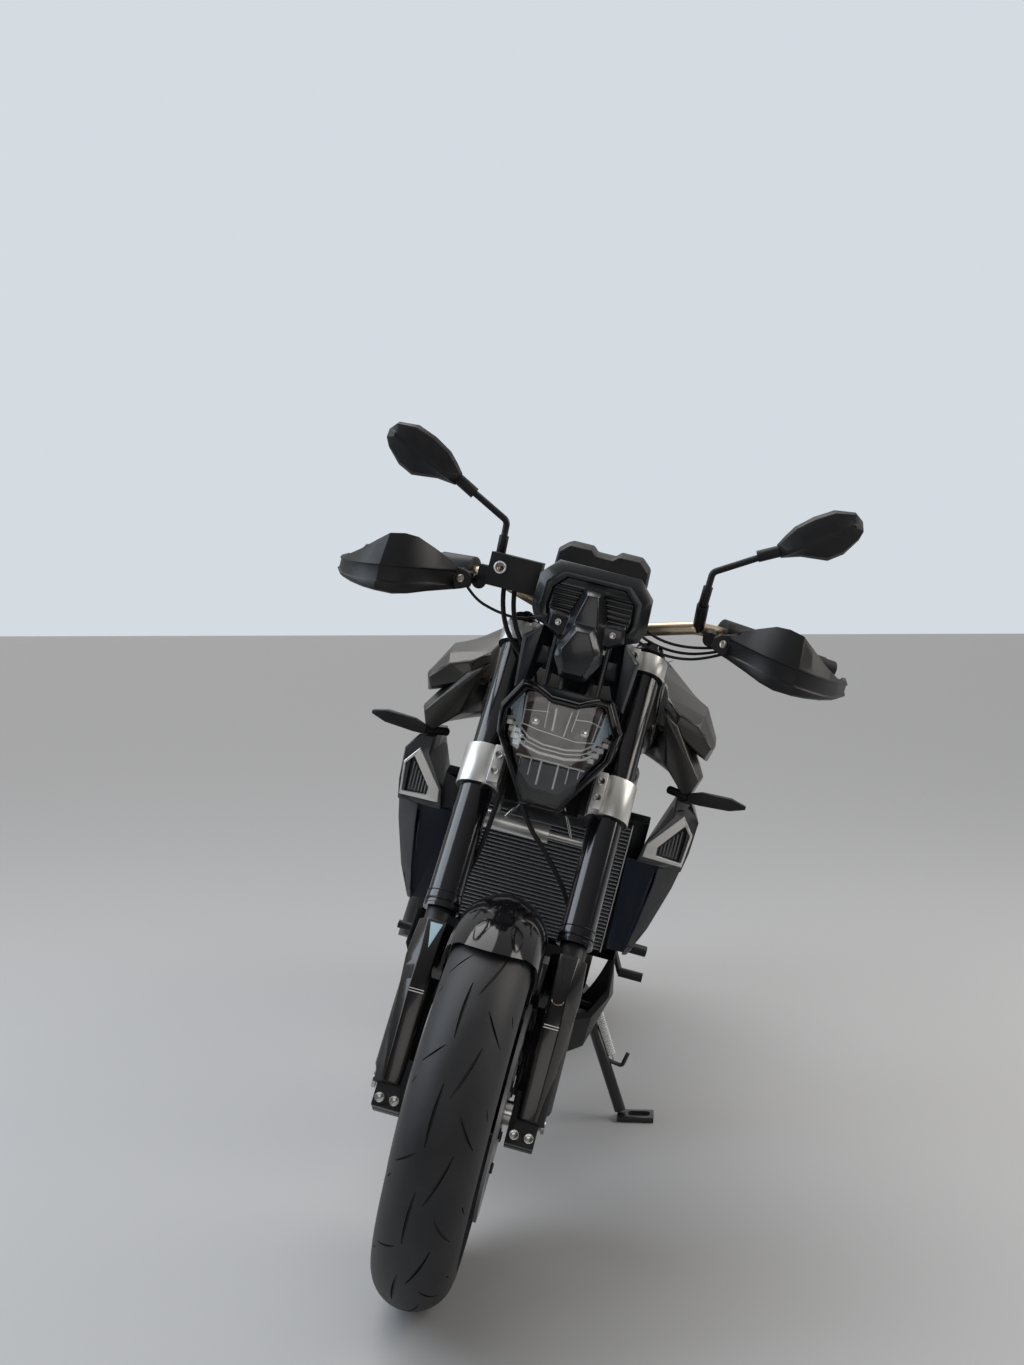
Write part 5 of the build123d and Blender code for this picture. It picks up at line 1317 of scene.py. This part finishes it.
# %% A room that is pale to the camera and graded to everything else
world = bpy.data.worlds.new("pale_room")
bpy.context.scene.world = world
world.use_nodes = True
w = world.node_tree
sky = w.nodes["Background"]
look = w.nodes.new("ShaderNodeTexCoord")
lean = w.nodes.new("ShaderNodeVectorMath")
lean.operation = "DOT_PRODUCT"
lean.inputs[1].default_value = (0.0, 0.4, 0.92)
w.links.new(look.outputs["Generated"], lean.inputs[0])
grade = w.nodes.new("ShaderNodeValToRGB")
grade.color_ramp.elements[0].position, grade.color_ramp.elements[0].color = 0.0, (0.03, 0.03, 0.034, 1)
grade.color_ramp.elements[1].position, grade.color_ramp.elements[1].color = 0.9, (1.0, 1.0, 1.0, 1)
w.links.new(lean.outputs["Value"], grade.inputs["Fac"])
w.links.new(grade.outputs["Color"], sky.inputs["Color"])
sky.inputs["Strength"].default_value = 0.55
pale = w.nodes.new("ShaderNodeBackground")
pale.inputs["Color"].default_value = (0.66, 0.71, 0.76, 1)
seen = w.nodes.new("ShaderNodeLightPath")
mix = w.nodes.new("ShaderNodeMixShader")
w.links.new(seen.outputs["Is Camera Ray"], mix.inputs["Fac"])
w.links.new(sky.outputs["Background"], mix.inputs[1])
w.links.new(pale.outputs["Background"], mix.inputs[2])
w.links.new(mix.outputs["Shader"], w.nodes["World Output"].inputs["Surface"])


# %% Lamps
def lamp(name, place, aim, size, watts, colour=(1, 1, 1)):
    data = bpy.data.lights.new(name, "AREA")
    data.shape, data.size, data.size_y = "RECTANGLE", size[0], size[1]
    data.energy, data.color = watts, colour
    light = added(name, data)
    light.location = place
    light.rotation_euler = (Vector(aim) - Vector(place)).to_track_quat("-Z", "Y").to_euler()


lamp("window_left", (-2.8, -0.8, 2.4), (0, -0.1, 0.6), (3.0, 2.4), 70, (0.80, 0.90, 1.0))
lamp("window_right", (2.7, 0.2, 2.0), (0, 0.2, 0.7), (2.2, 2.0), 50, (1.0, 0.95, 0.88))
lamp("front_fill", (0.6, -4.2, 1.5), (0, 0, 0.6), (2.6, 1.4), 16, (1.0, 0.98, 0.95))
sun = bpy.data.lights.new("skylight", "SUN")
sun.energy, sun.angle = 1.7, math.radians(50)
skylight = added("skylight", sun)
skylight.rotation_euler = (math.radians(-22), math.radians(-14), 0)
print("lamps placed")

# %% [markdown]
# The camera's place was solved from the floor tiles: 2.3 m in front of the front tyre's footprint, 1.10 m up, turned
# 5.9 degrees to the machine and tilted 4.65 degrees down.

# %% Camera
YAW, PITCH, ROLL = math.radians(5.9), math.radians(4.65), math.radians(-0.46)
FOCAL, PICTURE_HEIGHT = 1616.6, 1365  # pixels
footprint = PARK @ Vector((0, 0, 0))
room = Matrix.Translation((footprint.x, footprint.y, 0)) @ Matrix.Rotation(YAW, 4, "Z")
camera_data = bpy.data.cameras.new("camera")
camera_data.sensor_fit = "VERTICAL"
camera_data.sensor_height = 36.0
camera_data.lens = FOCAL / PICTURE_HEIGHT * camera_data.sensor_height
camera = added("camera", camera_data)
camera.matrix_world = (room @ Matrix.Translation((0.156, -2.330, 1.0965))
                       @ Matrix.Rotation(math.radians(90) - PITCH, 4, "X") @ Matrix.Rotation(ROLL, 4, "Z"))
bpy.context.scene.camera = camera
bpy.context.scene.view_settings.view_transform = "Standard"
print("camera at", [round(c, 3) for c in camera.matrix_world.translation])
